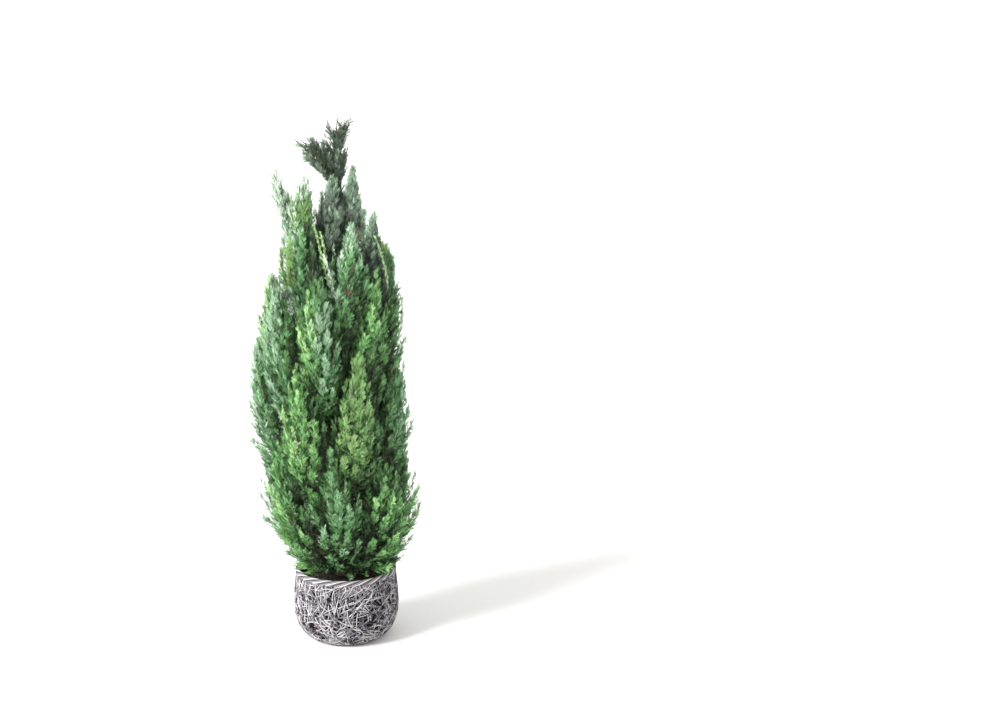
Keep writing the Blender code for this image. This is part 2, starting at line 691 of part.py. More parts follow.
def grow_sprays(plume, index, spaces):
    """Twigs leave the stem at the golden angle and each ends in a spray whose tip lies on the
    plume's surface. A spray that doesn't fit is tried shorter and lower, then skipped."""
    solids = []
    count = plume["sprays"]
    phase = rng.uniform(0.0, 2.0 * math.pi)
    for k in range(count):
        tip_share = FIRST_TIP + (LAST_TIP - FIRST_TIP) * (k + 0.5) / count
        angle = phase + k * GOLDEN_ANGLE
        roll = rng.uniform(-SPRAY_ROLL, SPRAY_ROLL)
        full = plume["girth"] * SPRAY_REACH * rng.uniform(*SPRAY_SCATTER)
        full *= 1.0 - SPRAY_TAPER * tip_share
        for attempt in range(SPRAY_TRIES):
            shorter = 1.0 - SPRAY_SHRINK * attempt
            root, tip, root_share = spray_line(plume, tip_share, angle, full * shorter)
            tip = root.lerp(tip, shorter)
            run = tip - root
            mesh = spray_mesh(run.length, run.length * SPRAY_WIDTH)
            outward = side_of(plume, root_share, angle)
            mesh.transform(blade_frame(root, run.normalized(), outward, roll))
            if spaces.owned(samples_of(mesh), index, SPRAY_CLEAR, 0.0, LIMB_CLEAR).all():
                twig_foot = axis_point(plume, max(STEM_BARE, root_share - TWIG_RUN))
                solids += [twig_mesh(twig_foot, root + run * SPRAY_SUNK), mesh]
                break
            bpy.data.meshes.remove(mesh)
    return solids


def last_spray(plume, index, spaces):
    """The spray that ends the stem and reaches the plume's tip."""
    heading = axis_heading(plume, LAST_TIP)
    for attempt in range(SPRAY_TRIES):
        length = plume["girth"] * LAST_SPRAY_REACH * (1.0 - SPRAY_SHRINK * attempt)
        mesh = spray_mesh(length, length * SPRAY_WIDTH * LAST_SPRAY_WIDTH)
        front = Vector((0.0, -1.0, 0.0))
        roll = rng.uniform(-SPRAY_ROLL, SPRAY_ROLL)
        mesh.transform(blade_frame(plume["tip"] - heading * length, heading, front, roll))
        if spaces.owned(samples_of(mesh), index, SPRAY_CLEAR, -TIP_FREEDOM, LIMB_CLEAR).all():
            return [mesh]
        bpy.data.meshes.remove(mesh)
    return []


def fuse(name, solids):
    """One Boolean union on a collection, then the limbs' clearances taken off."""
    loose = bpy.data.collections.new(name + "_solids")
    SCENE.collection.children.link(loose)
    for number, mesh in enumerate(solids[1:]):
        loose.objects.link(bpy.data.objects.new(f"{name}_solid_{number}", mesh))
    whole = bpy.data.objects.new(name, solids[0])
    SCENE.collection.objects.link(whole)
    steps = (("join", "UNION", loose), ("clear_of_limbs", "DIFFERENCE", CUTTERS))
    for title, operation, group in steps:
        step = whole.modifiers.new(title, "BOOLEAN")
        step.operation = operation
        step.operand_type = "COLLECTION"
        step.collection = group
        step.solver = "EXACT"
    mesh = evaluated_mesh(whole)
    for thing in list(loose.objects) + [whole]:
        bpy.data.objects.remove(thing, do_unlink=True)
    bpy.data.collections.remove(loose)
    return mesh


def largest_body(mesh, name):
    """Keep the biggest closed piece: scraps are dropped and sealed hollows are filled."""
    bm = bmesh.new()
    bm.from_mesh(mesh)
    bmesh.ops.triangulate(bm, faces=bm.faces)
    unseen = set(bm.faces)
    bodies = []
    while unseen:
        stack = [unseen.pop()]
        body = []
        while stack:
            face = stack.pop()
            body.append(face)
            for edge in face.edges:
                for other in edge.link_faces:
                    if other in unseen:
                        unseen.remove(other)
                        stack.append(other)
        bodies.append(body)

    def volume(body):
        return sum(f.calc_center_median().dot(f.normal) * f.calc_area() for f in body) / 3.0

    keep = max(bodies, key=volume)
    spare = [f for body in bodies if body is not keep for f in body]
    bmesh.ops.delete(bm, geom=spare, context="FACES")
    closed = all(edge.is_manifold for edge in bm.edges)
    clean = bpy.data.meshes.new(name)
    bm.to_mesh(clean)
    bm.free()
    bpy.data.meshes.remove(mesh)
    return clean, closed, len(bodies) - 1


def plume_solids(plume, index, spaces):
    """Stem, core, twigs and sprays of one mass, before they are joined."""
    shares = [STEM_END * k / STEM_PARTS for k in range(STEM_PARTS + 1)]
    points = [axis_point(plume, share) for share in shares]
    # the first point is drawn back so that the clearance cut sets the gap at the foot
    points[0] = points[0] - (points[1] - points[0]).normalized() * GAP
    radii = [STEM_R + (STEM_TIP_R - STEM_R) * share for share in shares]
    solids = [limb_mesh("stem", points, radii, 0)]
    solids.append(plume_core(plume, index, spaces))
    solids += grow_sprays(plume, index, spaces)
    return solids + last_spray(plume, index, spaces)


def make_plume(plume, index, spaces):
    """One mass of foliage as one closed body; a join that stays open is grown afresh."""
    name = "foliage_" + plume["name"]
    for attempt in range(TRIES):
        solids = plume_solids(plume, index, spaces)
        grown = (len(solids) - 2) // 2
        mesh, closed, dropped = largest_body(fuse(name, solids), name)
        if closed and dropped <= 1:
            break
        print(f"{name}: try {attempt + 1} left it open or in {dropped + 1} pieces")
    add_object(name, mesh, PARTS, foliage_material(name + "_green", plume["tip"].z))
    faces = len(mesh.polygons)
    print(f"{name}: {grown} sprays of {plume['sprays']}, {faces} triangles, {dropped} dropped")
    return faces


def build():
    make_pot()
    make_soil()
    make_trunk()
    plumes = []
    for spec in RINGS:
        plumes += ring_plumes(spec)
    plumes += placed_plumes(UPPER_PLUMES)
    plumes += placed_plumes(NECK_PLUMES)
    plumes += top_plumes()
    for plume in plumes:
        if plume["carrier"] == "bough":
            make_bough(plume)
    spaces = Spaces(plumes)
    total = sum(make_plume(plume, index, spaces) for index, plume in enumerate(plumes))
    print(f"{len(PARTS.objects)} pieces, {total} triangles of foliage")


build()
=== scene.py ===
# %% [markdown]
# ## A Lawson cypress in a wicker pot
# Over the next cells we dress a plain model of a small conifer until it looks like the real
# plant. The plain model holds the sizes: a pot, its soil, a trunk, the boughs, and one simple
# solid for each upright plume of foliage. Each cell below makes one real thing, prints what it
# made, and says why it was made that way.

# %% Load the plain model
import math
import random

import bpy
import numpy as np
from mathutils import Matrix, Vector


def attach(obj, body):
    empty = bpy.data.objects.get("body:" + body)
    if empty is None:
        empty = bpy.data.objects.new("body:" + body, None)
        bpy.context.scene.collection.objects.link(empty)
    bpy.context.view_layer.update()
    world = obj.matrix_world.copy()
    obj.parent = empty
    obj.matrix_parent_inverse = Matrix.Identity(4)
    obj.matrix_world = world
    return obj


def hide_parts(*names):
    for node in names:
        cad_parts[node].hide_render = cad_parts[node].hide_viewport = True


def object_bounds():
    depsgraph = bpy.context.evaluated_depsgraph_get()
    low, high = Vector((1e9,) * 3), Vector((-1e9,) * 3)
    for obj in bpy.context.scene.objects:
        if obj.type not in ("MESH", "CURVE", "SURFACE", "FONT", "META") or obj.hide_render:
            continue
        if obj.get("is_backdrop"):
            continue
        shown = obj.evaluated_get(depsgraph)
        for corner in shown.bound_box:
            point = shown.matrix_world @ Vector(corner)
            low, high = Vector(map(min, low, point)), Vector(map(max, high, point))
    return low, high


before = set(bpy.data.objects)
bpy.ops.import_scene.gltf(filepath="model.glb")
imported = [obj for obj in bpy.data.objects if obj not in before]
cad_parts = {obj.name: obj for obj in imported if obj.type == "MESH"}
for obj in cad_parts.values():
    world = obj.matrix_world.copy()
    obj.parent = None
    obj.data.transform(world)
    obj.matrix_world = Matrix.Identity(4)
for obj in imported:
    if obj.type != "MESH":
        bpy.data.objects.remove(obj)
solid_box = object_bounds()

# %% [markdown]
# ### Joining many small things
# A conifer has thousands of leaves. In Blender each object costs time, so we never make a leaf
# an object of its own. We work out all corners as one array, all triangles as another, and hand
# both to a single mesh. Every later cell that makes small things ends in this helper.

# %% One mesh from arrays
def add_object(name, data):
    thing = bpy.data.objects.new(name, data)
    bpy.context.scene.collection.objects.link(thing)
    return thing


def joined_mesh(name, corners, triangles, finishes, finish_of=None, smooth=False):
    mesh = bpy.data.meshes.new(name)
    mesh.vertices.add(len(corners))
    mesh.vertices.foreach_set("co", np.asarray(corners, np.float32).ravel())
    mesh.loops.add(3 * len(triangles))
    mesh.loops.foreach_set("vertex_index", np.asarray(triangles, np.int32).ravel())
    mesh.polygons.add(len(triangles))
    mesh.polygons.foreach_set("loop_start", np.arange(0, 3 * len(triangles), 3, dtype=np.int32))
    for finish in finishes:
        mesh.materials.append(finish)
    if finish_of is not None:
        mesh.polygons.foreach_set("material_index", np.asarray(finish_of, np.int32))
    mesh.polygons.foreach_set("use_smooth", np.full(len(triangles), smooth))
    mesh.update(calc_edges=True)
    mesh.validate()
    piece = add_object(name, mesh)
    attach(piece, "root")
    print(f"{name}: {len(triangles)} triangles")
    return piece


def stack_up(parts):
    """Several (corners, triangles) pairs as one pair."""
    offsets = np.cumsum([0] + [len(corners) for corners, _ in parts[:-1]])
    corners = np.concatenate([corners for corners, _ in parts])
    return corners, np.concatenate([tris + step for (_, tris), step in zip(parts, offsets)])

# %% [markdown]
# ### A tube along a path
# Strands, boughs and twigs are all tubes whose thickness changes along the way. A ring of
# corners is set round each point of the path, square to it, and neighbouring rings are
# stitched. The ends close in a point, so that each tube is a closed body.

# %% Tubes
FULL_TURN = 2.0 * math.pi


def unit(rows):
    return rows / (np.linalg.norm(rows, axis=1)[:, None] + 1e-12)


def even_turns(count):
    """Angles that share out a full turn."""
    return np.arange(count) * FULL_TURN / count


def stitched_rings(rings, sides):
    """Triangles between neighbouring rings, and from the outermost two to an end point each."""
    here = np.arange(sides)
    after = (here + 1) % sides
    rows = np.arange(rings - 1)[:, None] * sides
    quads = np.stack([rows + here, rows + after, rows + sides + after, rows + sides + here], axis=2)
    quads = quads.reshape(-1, 4)
    last = (rings - 1) * sides
    end = np.full(sides, rings * sides)
    caps = [np.stack([after, here, end], axis=1), np.stack([last + here, last + after, end + 1], axis=1)]
    return np.concatenate([quads[:, [0, 1, 2]], quads[:, [0, 2, 3]]] + caps)


def tube_along(path, radii, sides, upright=(0.0, 0.0, 1.0), flatness=1.0):
    path = np.asarray(path, float)
    radii = np.broadcast_to(radii, len(path))
    forward = np.gradient(path, axis=0)
    forward /= np.linalg.norm(forward, axis=1)[:, None]
    across = unit(np.cross(forward, np.broadcast_to(upright, path.shape)))
    outward = np.cross(across, forward)
    turns = even_turns(sides)[:, None]
    ring = across[:, None] * np.cos(turns) + outward[:, None] * np.sin(turns) * flatness
    rings = path[:, None] + ring * radii[:, None, None]
    ends = np.array([path[0] - forward[0] * radii[0] * 0.5, path[-1] + forward[-1] * radii[-1]])
    return np.concatenate([rings.reshape(-1, 3), ends]), stitched_rings(len(path), sides)

# %% [markdown]
# ### Plain colours with a little life
# A finish here is a plain base colour on the shader itself, so that it stays exactly where we
# deal it out, and a fine procedural grain that only lifts the surface and breaks up its gloss.
# Colours are written the way a picture editor shows them, and turned to linear light.

# %% Finishes
def linear(colour):
    return tuple(((c / 255.0 + 0.055) / 1.055) ** 2.4 for c in colour) + (1.0,)


def blank_finish(name):
    finish = bpy.data.materials.new(name)
    finish.use_nodes = True
    return finish, finish.node_tree.nodes, finish.node_tree.links


def add_noise(nodes, links, place, scale, detail):
    noise = nodes.new("ShaderNodeTexNoise")
    noise.inputs["Scale"].default_value = scale
    noise.inputs["Detail"].default_value = detail
    links.new(place, noise.inputs["Vector"])
    return noise


def lift_surface(nodes, links, height, strength, depth):
    """Lets a grey value lift the surface, by up to a depth in metres."""
    lift = nodes.new("ShaderNodeBump")
    lift.inputs["Strength"].default_value = strength
    lift.inputs["Distance"].default_value = depth
    links.new(height, lift.inputs["Height"])
    links.new(lift.outputs["Normal"], nodes["Principled BSDF"].inputs["Normal"])


def grained_finish(name, colour, rough, grain_size, depth, gloss_swing=0.12, shine=0.5):
    finish, nodes, links = blank_finish(name)
    shader = nodes["Principled BSDF"]
    shader.inputs["Base Color"].default_value = linear(colour)
    shader.inputs["Specular IOR Level"].default_value = shine
    place = nodes.new("ShaderNodeTexCoord").outputs["Object"]
    grain = add_noise(nodes, links, place, scale=1.0 / grain_size, detail=3.0).outputs["Fac"]
    swing = nodes.new("ShaderNodeMapRange")
    swing.inputs["To Min"].default_value = rough - gloss_swing
    swing.inputs["To Max"].default_value = rough + gloss_swing
    links.new(grain, swing.inputs["Value"])
    links.new(swing.outputs["Result"], shader.inputs["Roughness"])
    lift_surface(nodes, links, grain, strength=0.6, depth=depth)
    finish.diffuse_color = linear(colour)
    return finish

# %% [markdown]
# ### The pot's form
# The pot is a basket: a round belly that draws in a little to its rim, standing on a small
# flat foot. One curve of radius against height describes it. Strands have to run evenly over
# that curve, so we also measure it by length, from the foot up to the rim.

# %% The pot's curve
POT_HEIGHT = 0.122
POT_FOOT_R = 0.050
POT_BELLY_R = 0.088
POT_BELLY_Z = 0.056
POT_RIM_R = 0.083
POT_WALL = 0.0055
RIM_ROLL_R = 0.0048
ROLL_R = POT_RIM_R - POT_WALL * 0.5
ROLL_Z = POT_HEIGHT - RIM_ROLL_R
CURVE_POINTS = 200


def pot_radius(z):
    z = np.asarray(z, float)
    low = np.clip(1.0 - z / POT_BELLY_Z, 0.0, 1.0)
    high = np.clip((z - POT_BELLY_Z) / (POT_HEIGHT - POT_BELLY_Z), 0.0, 1.0)
    belly = POT_FOOT_R + (POT_BELLY_R - POT_FOOT_R) * np.sqrt(1.0 - low * low)
    return np.where(z < POT_BELLY_Z, belly, POT_BELLY_R + (POT_RIM_R - POT_BELLY_R) * high * high)


curve_z = POT_HEIGHT * (1.0 - np.cos(np.linspace(0.0, math.pi / 2.0, CURVE_POINTS)))
curve_z = np.clip(curve_z, 0.0, ROLL_Z)
curve_r = pot_radius(curve_z)
curve_run = np.concatenate([[0.0], np.cumsum(np.hypot(np.diff(curve_r), np.diff(curve_z)))])
print(f"the pot's side measures {curve_run[-1] * 1000:.0f} mm from foot to rim")

# %% [markdown]
# ### The dark lining
# Between the strands shows the lining that keeps the soil in, dark and a little purple. It is
# a turned shell that lies two to three millimetres inside the basket's face. We turn it from
# its curve, because its inside, rim and underside have to close into one body.

# %% The lining
LINING_DEPTH = 0.0026
LINING_STEPS = 96
POT_FLOOR = 0.007
FLOOR_INSET = 0.004
INNER_WALL_Z = np.linspace(0.015, 0.100, 14)
OUTER_WALL_Z = np.linspace(0.108, 0.004, 30)
# over the rolled rim the lining is led from the inner wall to the outer one
ROLL_DEGREES = range(205, -30, -16)
LINING_FOOT_Z = 0.0016
UNDER_ROLL = 0.0019


def around_axis(turn, reach, height):
    """Places at an angle round the middle axis, so far out from it and so high."""
    turn, reach, height = np.broadcast_arrays(turn, reach, height)
    return np.stack([reach * np.cos(turn), reach * np.sin(turn), height], axis=-1)


def turned_shell(curve, steps):
    """A closed body turned round the middle axis from pairs of radius and height."""
    curve = np.asarray(curve, float)
    rings = around_axis(even_turns(steps), curve[:, :1], curve[:, 1:])
    ends = [(0.0, 0.0, curve[0, 1]), (0.0, 0.0, curve[-1, 1])]
    return np.concatenate([rings.reshape(-1, 3), ends]), stitched_rings(len(curve), steps)[:, ::-1]


lining_curve = [(float(pot_radius(INNER_WALL_Z[0])) - POT_WALL - FLOOR_INSET, POT_FLOOR)]
lining_curve += [(float(pot_radius(z)) - POT_WALL, z) for z in INNER_WALL_Z]
for degrees in ROLL_DEGREES:
    turn = math.radians(degrees)
    reach = RIM_ROLL_R - UNDER_ROLL
    lining_curve.append((ROLL_R + reach * math.cos(turn), ROLL_Z + reach * math.sin(turn)))
lining_curve += [(float(pot_radius(z)) - LINING_DEPTH, z) for z in OUTER_WALL_Z]
lining_curve += [(POT_FOOT_R - LINING_DEPTH, LINING_FOOT_Z)]
lining_finish = grained_finish("dark_lining", (24, 20, 23), rough=0.75, grain_size=0.0035,
                               depth=0.0008, shine=0.06)
lining = joined_mesh("pot_lining", *turned_shell(lining_curve, LINING_STEPS), [lining_finish], smooth=True)

# %% [markdown]
# ### Places on the basket
# A strand is led over the basket by two numbers, an angle round it and a length up its side. A
# third one sinks it a little under the face. To turn them into a place in space we read the
# curve at that length, and its slope there, which tells us the way straight out of the face.

# %% From angle and length to a place
# the curve's end is clipped level, so a hair more run keeps its slopes finite
slope_run = curve_run + np.arange(CURVE_POINTS) * 1e-9
curve_slope_r = np.gradient(curve_r, slope_run)
curve_slope_z = np.gradient(curve_z, slope_run)


def place_on_pot(turn, run, depth):
    """A place on the basket's face: angle round it, length up its side, depth under the face."""
    z, r, slope_r, slope_z = (np.interp(run, curve_run, values)
                              for values in (curve_z, curve_r, curve_slope_r, curve_slope_z))
    face = around_axis(turn, slope_z, -slope_r)
    face /= np.linalg.norm(face, axis=1)[:, None]
    return around_axis(turn, r, z) - face * depth[:, None], face


print(f"the basket is {2000 * curve_r.max():.0f} mm across where it is broadest")

# %% [markdown]
# ### The strands
# This is a random weave: thin peeled canes laid over the form in every direction, some above
# and some below the others. Their starts are spread evenly, so that no large hole stays open.
# To lay one cane we walk over the pot in small steps, keep our heading but for a slow drift,
# and turn back at the foot or rim. A slow wave moves it in and out, so canes really pass over
# and under each other. Three tones of grey are dealt by cane.

# %% Canes laid over the pot
# colour and roughness of each tone of cane
CANE_TONES = dict(pale_cane=((188, 184, 186), 0.62), grey_cane=((130, 125, 130), 0.66),
                  weathered_cane=((80, 74, 80), 0.70))
cane_finishes = [grained_finish(name, tone, rough, grain_size=0.0012, depth=0.0005, shine=0.3)
                 for name, (tone, rough) in CANE_TONES.items()]
CANE_SHARES = (0.32, 0.40, 0.28)
CANE_COUNT = 1600
CANE_STEP = 0.0056
CANE_R = 0.00076
CANE_R_SPREAD = (0.75, 1.4)
CANE_FLATNESS = 0.8
CANE_LENGTHS = (0.020, 0.056)
CANE_HEADINGS = (0.35, 0.8, 1.2, 1.9, 2.4, 2.8)
HEADING_SCATTER = 0.35
CANE_DRIFT = 45.0
CANE_DEPTH = 0.0011
CANE_WAVE = 0.0009
WAVE_LENGTHS = (0.004, 0.008)
# a wave starts anywhere in almost a full turn
ANY_PHASE = 6.0
LOWEST_RUN = 0.003
HIGHEST_RUN = curve_run[-1] - 0.001
# two steps whose multiples, cut to their fractions, spread places evenly over a square
EVEN_SPREAD = (0.754878, 0.569840)
weave = random.Random(7)


def lay_cane(number):
    turn = FULL_TURN * (number * EVEN_SPREAD[0] % 1.0)
    run = curve_run[-1] * (number * EVEN_SPREAD[1] % 1.0)
    heading = weave.choice(CANE_HEADINGS) + weave.uniform(-HEADING_SCATTER, HEADING_SCATTER)
    drift = weave.uniform(-CANE_DRIFT, CANE_DRIFT)
    turns, runs = [turn], [run]
    for _ in range(int(weave.uniform(*CANE_LENGTHS) / CANE_STEP)):
        run += math.sin(heading) * CANE_STEP
        turn += math.cos(heading) * CANE_STEP / float(np.interp(run, curve_run, curve_r))
        heading += drift * CANE_STEP
        if run < LOWEST_RUN or run > HIGHEST_RUN:
            heading = -heading
            run = min(max(run, LOWEST_RUN), HIGHEST_RUN)
        turns.append(turn)
        runs.append(run)
    along = np.arange(len(turns)) * CANE_STEP
    wave = np.sin(along / weave.uniform(*WAVE_LENGTHS) + weave.uniform(0.0, ANY_PHASE))
    place, face = place_on_pot(np.array(turns), np.array(runs), CANE_DEPTH + CANE_WAVE * wave)
    place[:, 2] = np.maximum(place[:, 2], CANE_R)
    radius = CANE_R * weave.uniform(*CANE_R_SPREAD)
    return tube_along(place, radius, sides=3, upright=face, flatness=CANE_FLATNESS)


canes = [lay_cane(number) for number in range(CANE_COUNT)]
cane_tone = [weave.choices(range(len(CANE_TONES)), CANE_SHARES)[0] for _ in canes]
print(f"{len(canes)} canes laid")

# %% [markdown]
# ### Rim and foot
# A basket's rim is finished by canes that wind round its edge like a rope, and its foot by a
# few rounds of cane with others crossing the underside. A rope's strand is a small circle
# carried round a big one, so its place comes from two angles that grow together.

# %% Rope rim, foot rounds and underside
ROPE_STRANDS = 9
ROPE_TWISTS = 7
ROPE_R = 0.00115
ROPE_SINK = 0.0010
FOOT_ROUNDS = 3
FOOT_ROUND_R = 0.0011
FOOT_ROUND_Z = 0.0015
FOOT_ROUND_STEP = 0.0020
UNDER_CANES = 22
UNDER_CANE_R = 0.0009
UNDER_CANE_Z = 0.0013
UNDER_REACH = 0.047
UNDER_SPREAD = 0.044
# every cane here wavers by this much, so that none looks machined
WAVER = 0.0003


def add_cane(path, radius, number):
    canes.append(tube_along(path, radius, sides=5))
    cane_tone.append(number % len(cane_finishes))


turns = np.linspace(0.0, FULL_TURN, 181)
for strand in range(ROPE_STRANDS):
    small = strand * FULL_TURN / ROPE_STRANDS + turns * ROPE_TWISTS
    reach = RIM_ROLL_R - ROPE_SINK + WAVER * np.sin(turns * 11.0 + strand)
    path = around_axis(turns, ROLL_R + reach * np.cos(small), ROLL_Z + reach * np.sin(small))
    add_cane(path, ROPE_R, strand)
for strand in range(FOOT_ROUNDS):
    height = FOOT_ROUND_Z + WAVER * np.sin(turns * 9.0 + strand * 2.0)
    add_cane(around_axis(turns, POT_FOOT_R - FOOT_ROUND_STEP * strand, height), FOOT_ROUND_R, strand)
for chord in range(UNDER_CANES):
    way, side = weave.uniform(0.0, math.pi), weave.uniform(-UNDER_SPREAD, UNDER_SPREAD)
    half = math.sqrt(UNDER_REACH ** 2 - side ** 2)
    along = np.linspace(-half, half, 14)
    path = np.stack([along * math.cos(way) - side * math.sin(way),
                     along * math.sin(way) + side * math.cos(way),
                     UNDER_CANE_Z + WAVER * np.sin(along * 180.0 + chord)], axis=1)
    add_cane(path, UNDER_CANE_R, chord)
tones = np.repeat(cane_tone, [len(tris) for _, tris in canes])
basket = joined_mesh("woven_basket", *stack_up(canes), cane_finishes, tones, smooth=True)
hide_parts("wicker_pot")

# %% [markdown]
# ### Potting soil
# The solid of the soil has the right dome, so it stays and only gets a better surface: dark,
# moist and grainy. What the eye knows soil by is its crumbs, so a loose layer of little uneven
# lumps and bark chips is strewn over it as one joined mesh. A lump is an eight-sided grain
# whose six corners are each pulled out or in by chance.

# %% Soil and crumbs
SOIL_EDGE_Z = 0.103
SOIL_CROWN_Z = 0.108
# the dome falls slowly as far as its shoulder, and faster from there to its edge
SHOULDER = 0.6
SHOULDER_FALL = 0.0012
SOIL_EDGE_GAP = 0.0015
# the soil's radius is the pot's at this height, less its wall and the gap
SOIL_RADIUS_Z = 0.100
CRUMBS = 2600
# share of the soil's area that stays free of crumbs round the trunk
FREE_OF_CRUMBS = 0.05
# shape and scale of the spread of their sizes, and its ends
CRUMB_SPREAD = (3.0, 0.00040)
LEAST_CRUMB = 0.0004
MOST_CRUMB = 0.0032
CRUMB_PULL = (0.55, 1.3)
CRUMB_FLATNESS = 0.7
CRUMB_LIFT = 0.2
CRUMB_SHARES = (0.55, 0.33, 0.12)
CRUMB_TONES = dict(dark_crumb=((40, 30, 24), 0.9), peat_crumb=((66, 48, 36), 0.9),
                   bark_chip=((104, 78, 55), 0.8))
soil_finish = grained_finish("moist_soil_surface", (40, 33, 28), rough=0.85, grain_size=0.0024,
                             depth=0.0016, gloss_swing=0.1)
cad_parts["potting_soil"].data.materials.clear()
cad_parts["potting_soil"].data.materials.append(soil_finish)
crumb_finishes = [grained_finish(name, tone, rough, grain_size=0.0010, depth=0.0004, gloss_swing=0.08)
                  for name, (tone, rough) in CRUMB_TONES.items()]
strew = np.random.default_rng(11)
grain = np.array([(1, 0, 0), (0, 1, 0), (-1, 0, 0), (0, -1, 0), (0, 0, 1), (0, 0, -1)], float)
grain_faces = np.array([(0, 1, 4), (1, 2, 4), (2, 3, 4), (3, 0, 4),
                        (1, 0, 5), (2, 1, 5), (3, 2, 5), (0, 3, 5)])
edge = float(pot_radius(SOIL_RADIUS_Z)) - POT_WALL - SOIL_EDGE_GAP
reach = edge * np.sqrt(strew.uniform(FREE_OF_CRUMBS, 1.0, CRUMBS))
turn = strew.uniform(0.0, FULL_TURN, CRUMBS)
rise = SOIL_CROWN_Z - SHOULDER_FALL * np.clip(reach / (edge * SHOULDER), 0.0, 1.0)
outer_share = np.clip((reach / edge - SHOULDER) / (1.0 - SHOULDER), 0.0, 1.0)
rise -= (SOIL_CROWN_Z - SHOULDER_FALL - SOIL_EDGE_Z) * outer_share
size = strew.gamma(*CRUMB_SPREAD, CRUMBS).clip(LEAST_CRUMB, MOST_CRUMB)
shape = grain[None] * size[:, None, None] * strew.uniform(*CRUMB_PULL, (CRUMBS, len(grain), 1))
spin = strew.uniform(0.0, FULL_TURN, CRUMBS)[:, None]
turned_x = shape[:, :, 0] * np.cos(spin) - shape[:, :, 1] * np.sin(spin)
turned_y = shape[:, :, 0] * np.sin(spin) + shape[:, :, 1] * np.cos(spin)
middle = around_axis(turn, reach, rise + size * CRUMB_LIFT)
corners = np.stack([turned_x, turned_y, shape[:, :, 2] * CRUMB_FLATNESS], axis=2) + middle[:, None]
tris = (grain_faces[None] + len(grain) * np.arange(CRUMBS)[:, None, None]).reshape(-1, 3)
kinds = np.repeat(strew.choice(len(CRUMB_TONES), CRUMBS, p=CRUMB_SHARES), len(grain_faces))
crumbs = joined_mesh("soil_crumbs", corners.reshape(-1, 3), tris, crumb_finishes, kinds)

# %% [markdown]
# ### Bark
# Cypress bark is thin and peels in long upright strips, red brown with grey lips. The relief
# has to be real where a bough stands against the sky, so the mesh itself is ridged: a few
# waves round the limb, bent by slow waves along it. The finer strips are left to the finish,
# where a noise squeezed along the limb draws fibres in three browns.

# %% Bark finish
RIDGE_HEIGHT = 0.16
RIDGE_BASE = 0.6
RIDGE_SWAY = 1.6
SWAY_WAVES = (5.0, 14.0)
BARK_UPRIGHT = (0.03, 1.0, 0.02)


def bark_finish(name, dark, middle, light):
    finish, nodes, links = blank_finish(name)
    shader = nodes["Principled BSDF"]
    shader.inputs["Roughness"].default_value = 0.88
    squeeze = nodes.new("ShaderNodeMapping")
    squeeze.inputs["Scale"].default_value = (1.0, 1.0, 0.12)
    links.new(nodes.new("ShaderNodeTexCoord").outputs["Object"], squeeze.inputs["Vector"])
    fibres = add_noise(nodes, links, squeeze.outputs["Vector"], scale=420.0, detail=5.0)
    fibres.inputs["Roughness"].default_value = 0.65
    ramp = nodes.new("ShaderNodeValToRGB")
    first, last = ramp.color_ramp.elements
    first.position = 0.34
    first.color = linear(dark)
    last.position = 0.68
    last.color = linear(light)
    ramp.color_ramp.elements.new(0.52).color = linear(middle)
    links.new(fibres.outputs["Fac"], ramp.inputs["Fac"])
    links.new(ramp.outputs["Color"], shader.inputs["Base Color"])
    lift_surface(nodes, links, fibres.outputs["Fac"], strength=0.8, depth=0.0009)
    return finish


def barked_limb(path, radii, sides, ridges, seed):
    """A limb with upright strips of bark lifted off its round, one wave for each count of ridges."""
    corners, tris = tube_along(path, radii, sides, BARK_UPRIGHT)
    rows = len(path)
    turn = even_turns(sides)
    along = np.arange(rows)[:, None] / rows
    lift = np.zeros((rows, sides))
    chance = np.random.default_rng(seed)
    for ridge in ridges:
        sway = RIDGE_SWAY * np.sin(along * chance.uniform(*SWAY_WAVES) + chance.uniform(0.0, ANY_PHASE))
        wave = np.sin((ridge * turn[None] + sway) * 0.5 + chance.uniform(0.0, ANY_PHASE))
        lift += np.abs(wave) - RIDGE_BASE
    lift *= RIDGE_HEIGHT / len(ridges)
    rings = corners[:-2].reshape(rows, sides, 3)
    middle = np.asarray(path)[:, None]
    rings = middle + (rings - middle) * (1.0 + lift[:, :, None])
    return np.concatenate([rings.reshape(-1, 3), corners[-2:]]), tris

# %% [markdown]
# ### The trunk
# The leader runs from a small flare on the soil up through all the foliage to the loose head,
# thinner all the way, with one slow sway. Its line and taper are the plain model's own, said
# again here, so the barked trunk lies exactly where the plain one is.

# %% Trunk
TRUNK_TOP = 0.768
TRUNK_R = 0.0105
TRUNK_FLARE_R = 0.0185
TRUNK_FLARE_H = 0.030
TRUNK_TIP_R = 0.0021
TRUNK_LEAN = -0.010
TRUNK_WAVE = 0.004
GAP = 0.0003


def trunk_centre(z):
    share = max(0.0, min(1.0, (z - SOIL_CROWN_Z) / (TRUNK_TOP - SOIL_CROWN_Z)))
    sway = TRUNK_LEAN * math.sin(math.pi * share) ** 2
    return Vector((sway, TRUNK_WAVE * math.sin(FULL_TURN * share), z))


def trunk_radius(z):
    share = max(0.0, (z - SOIL_CROWN_Z) / (TRUNK_TOP - SOIL_CROWN_Z))
    flare = max(0.0, 1.0 - (z - SOIL_CROWN_Z) / TRUNK_FLARE_H)
    return TRUNK_R + (TRUNK_TIP_R - TRUNK_R) * share + (TRUNK_FLARE_R - TRUNK_R) * flare * flare


def trunk_line(levels):
    return np.array([tuple(trunk_centre(z)) for z in levels])


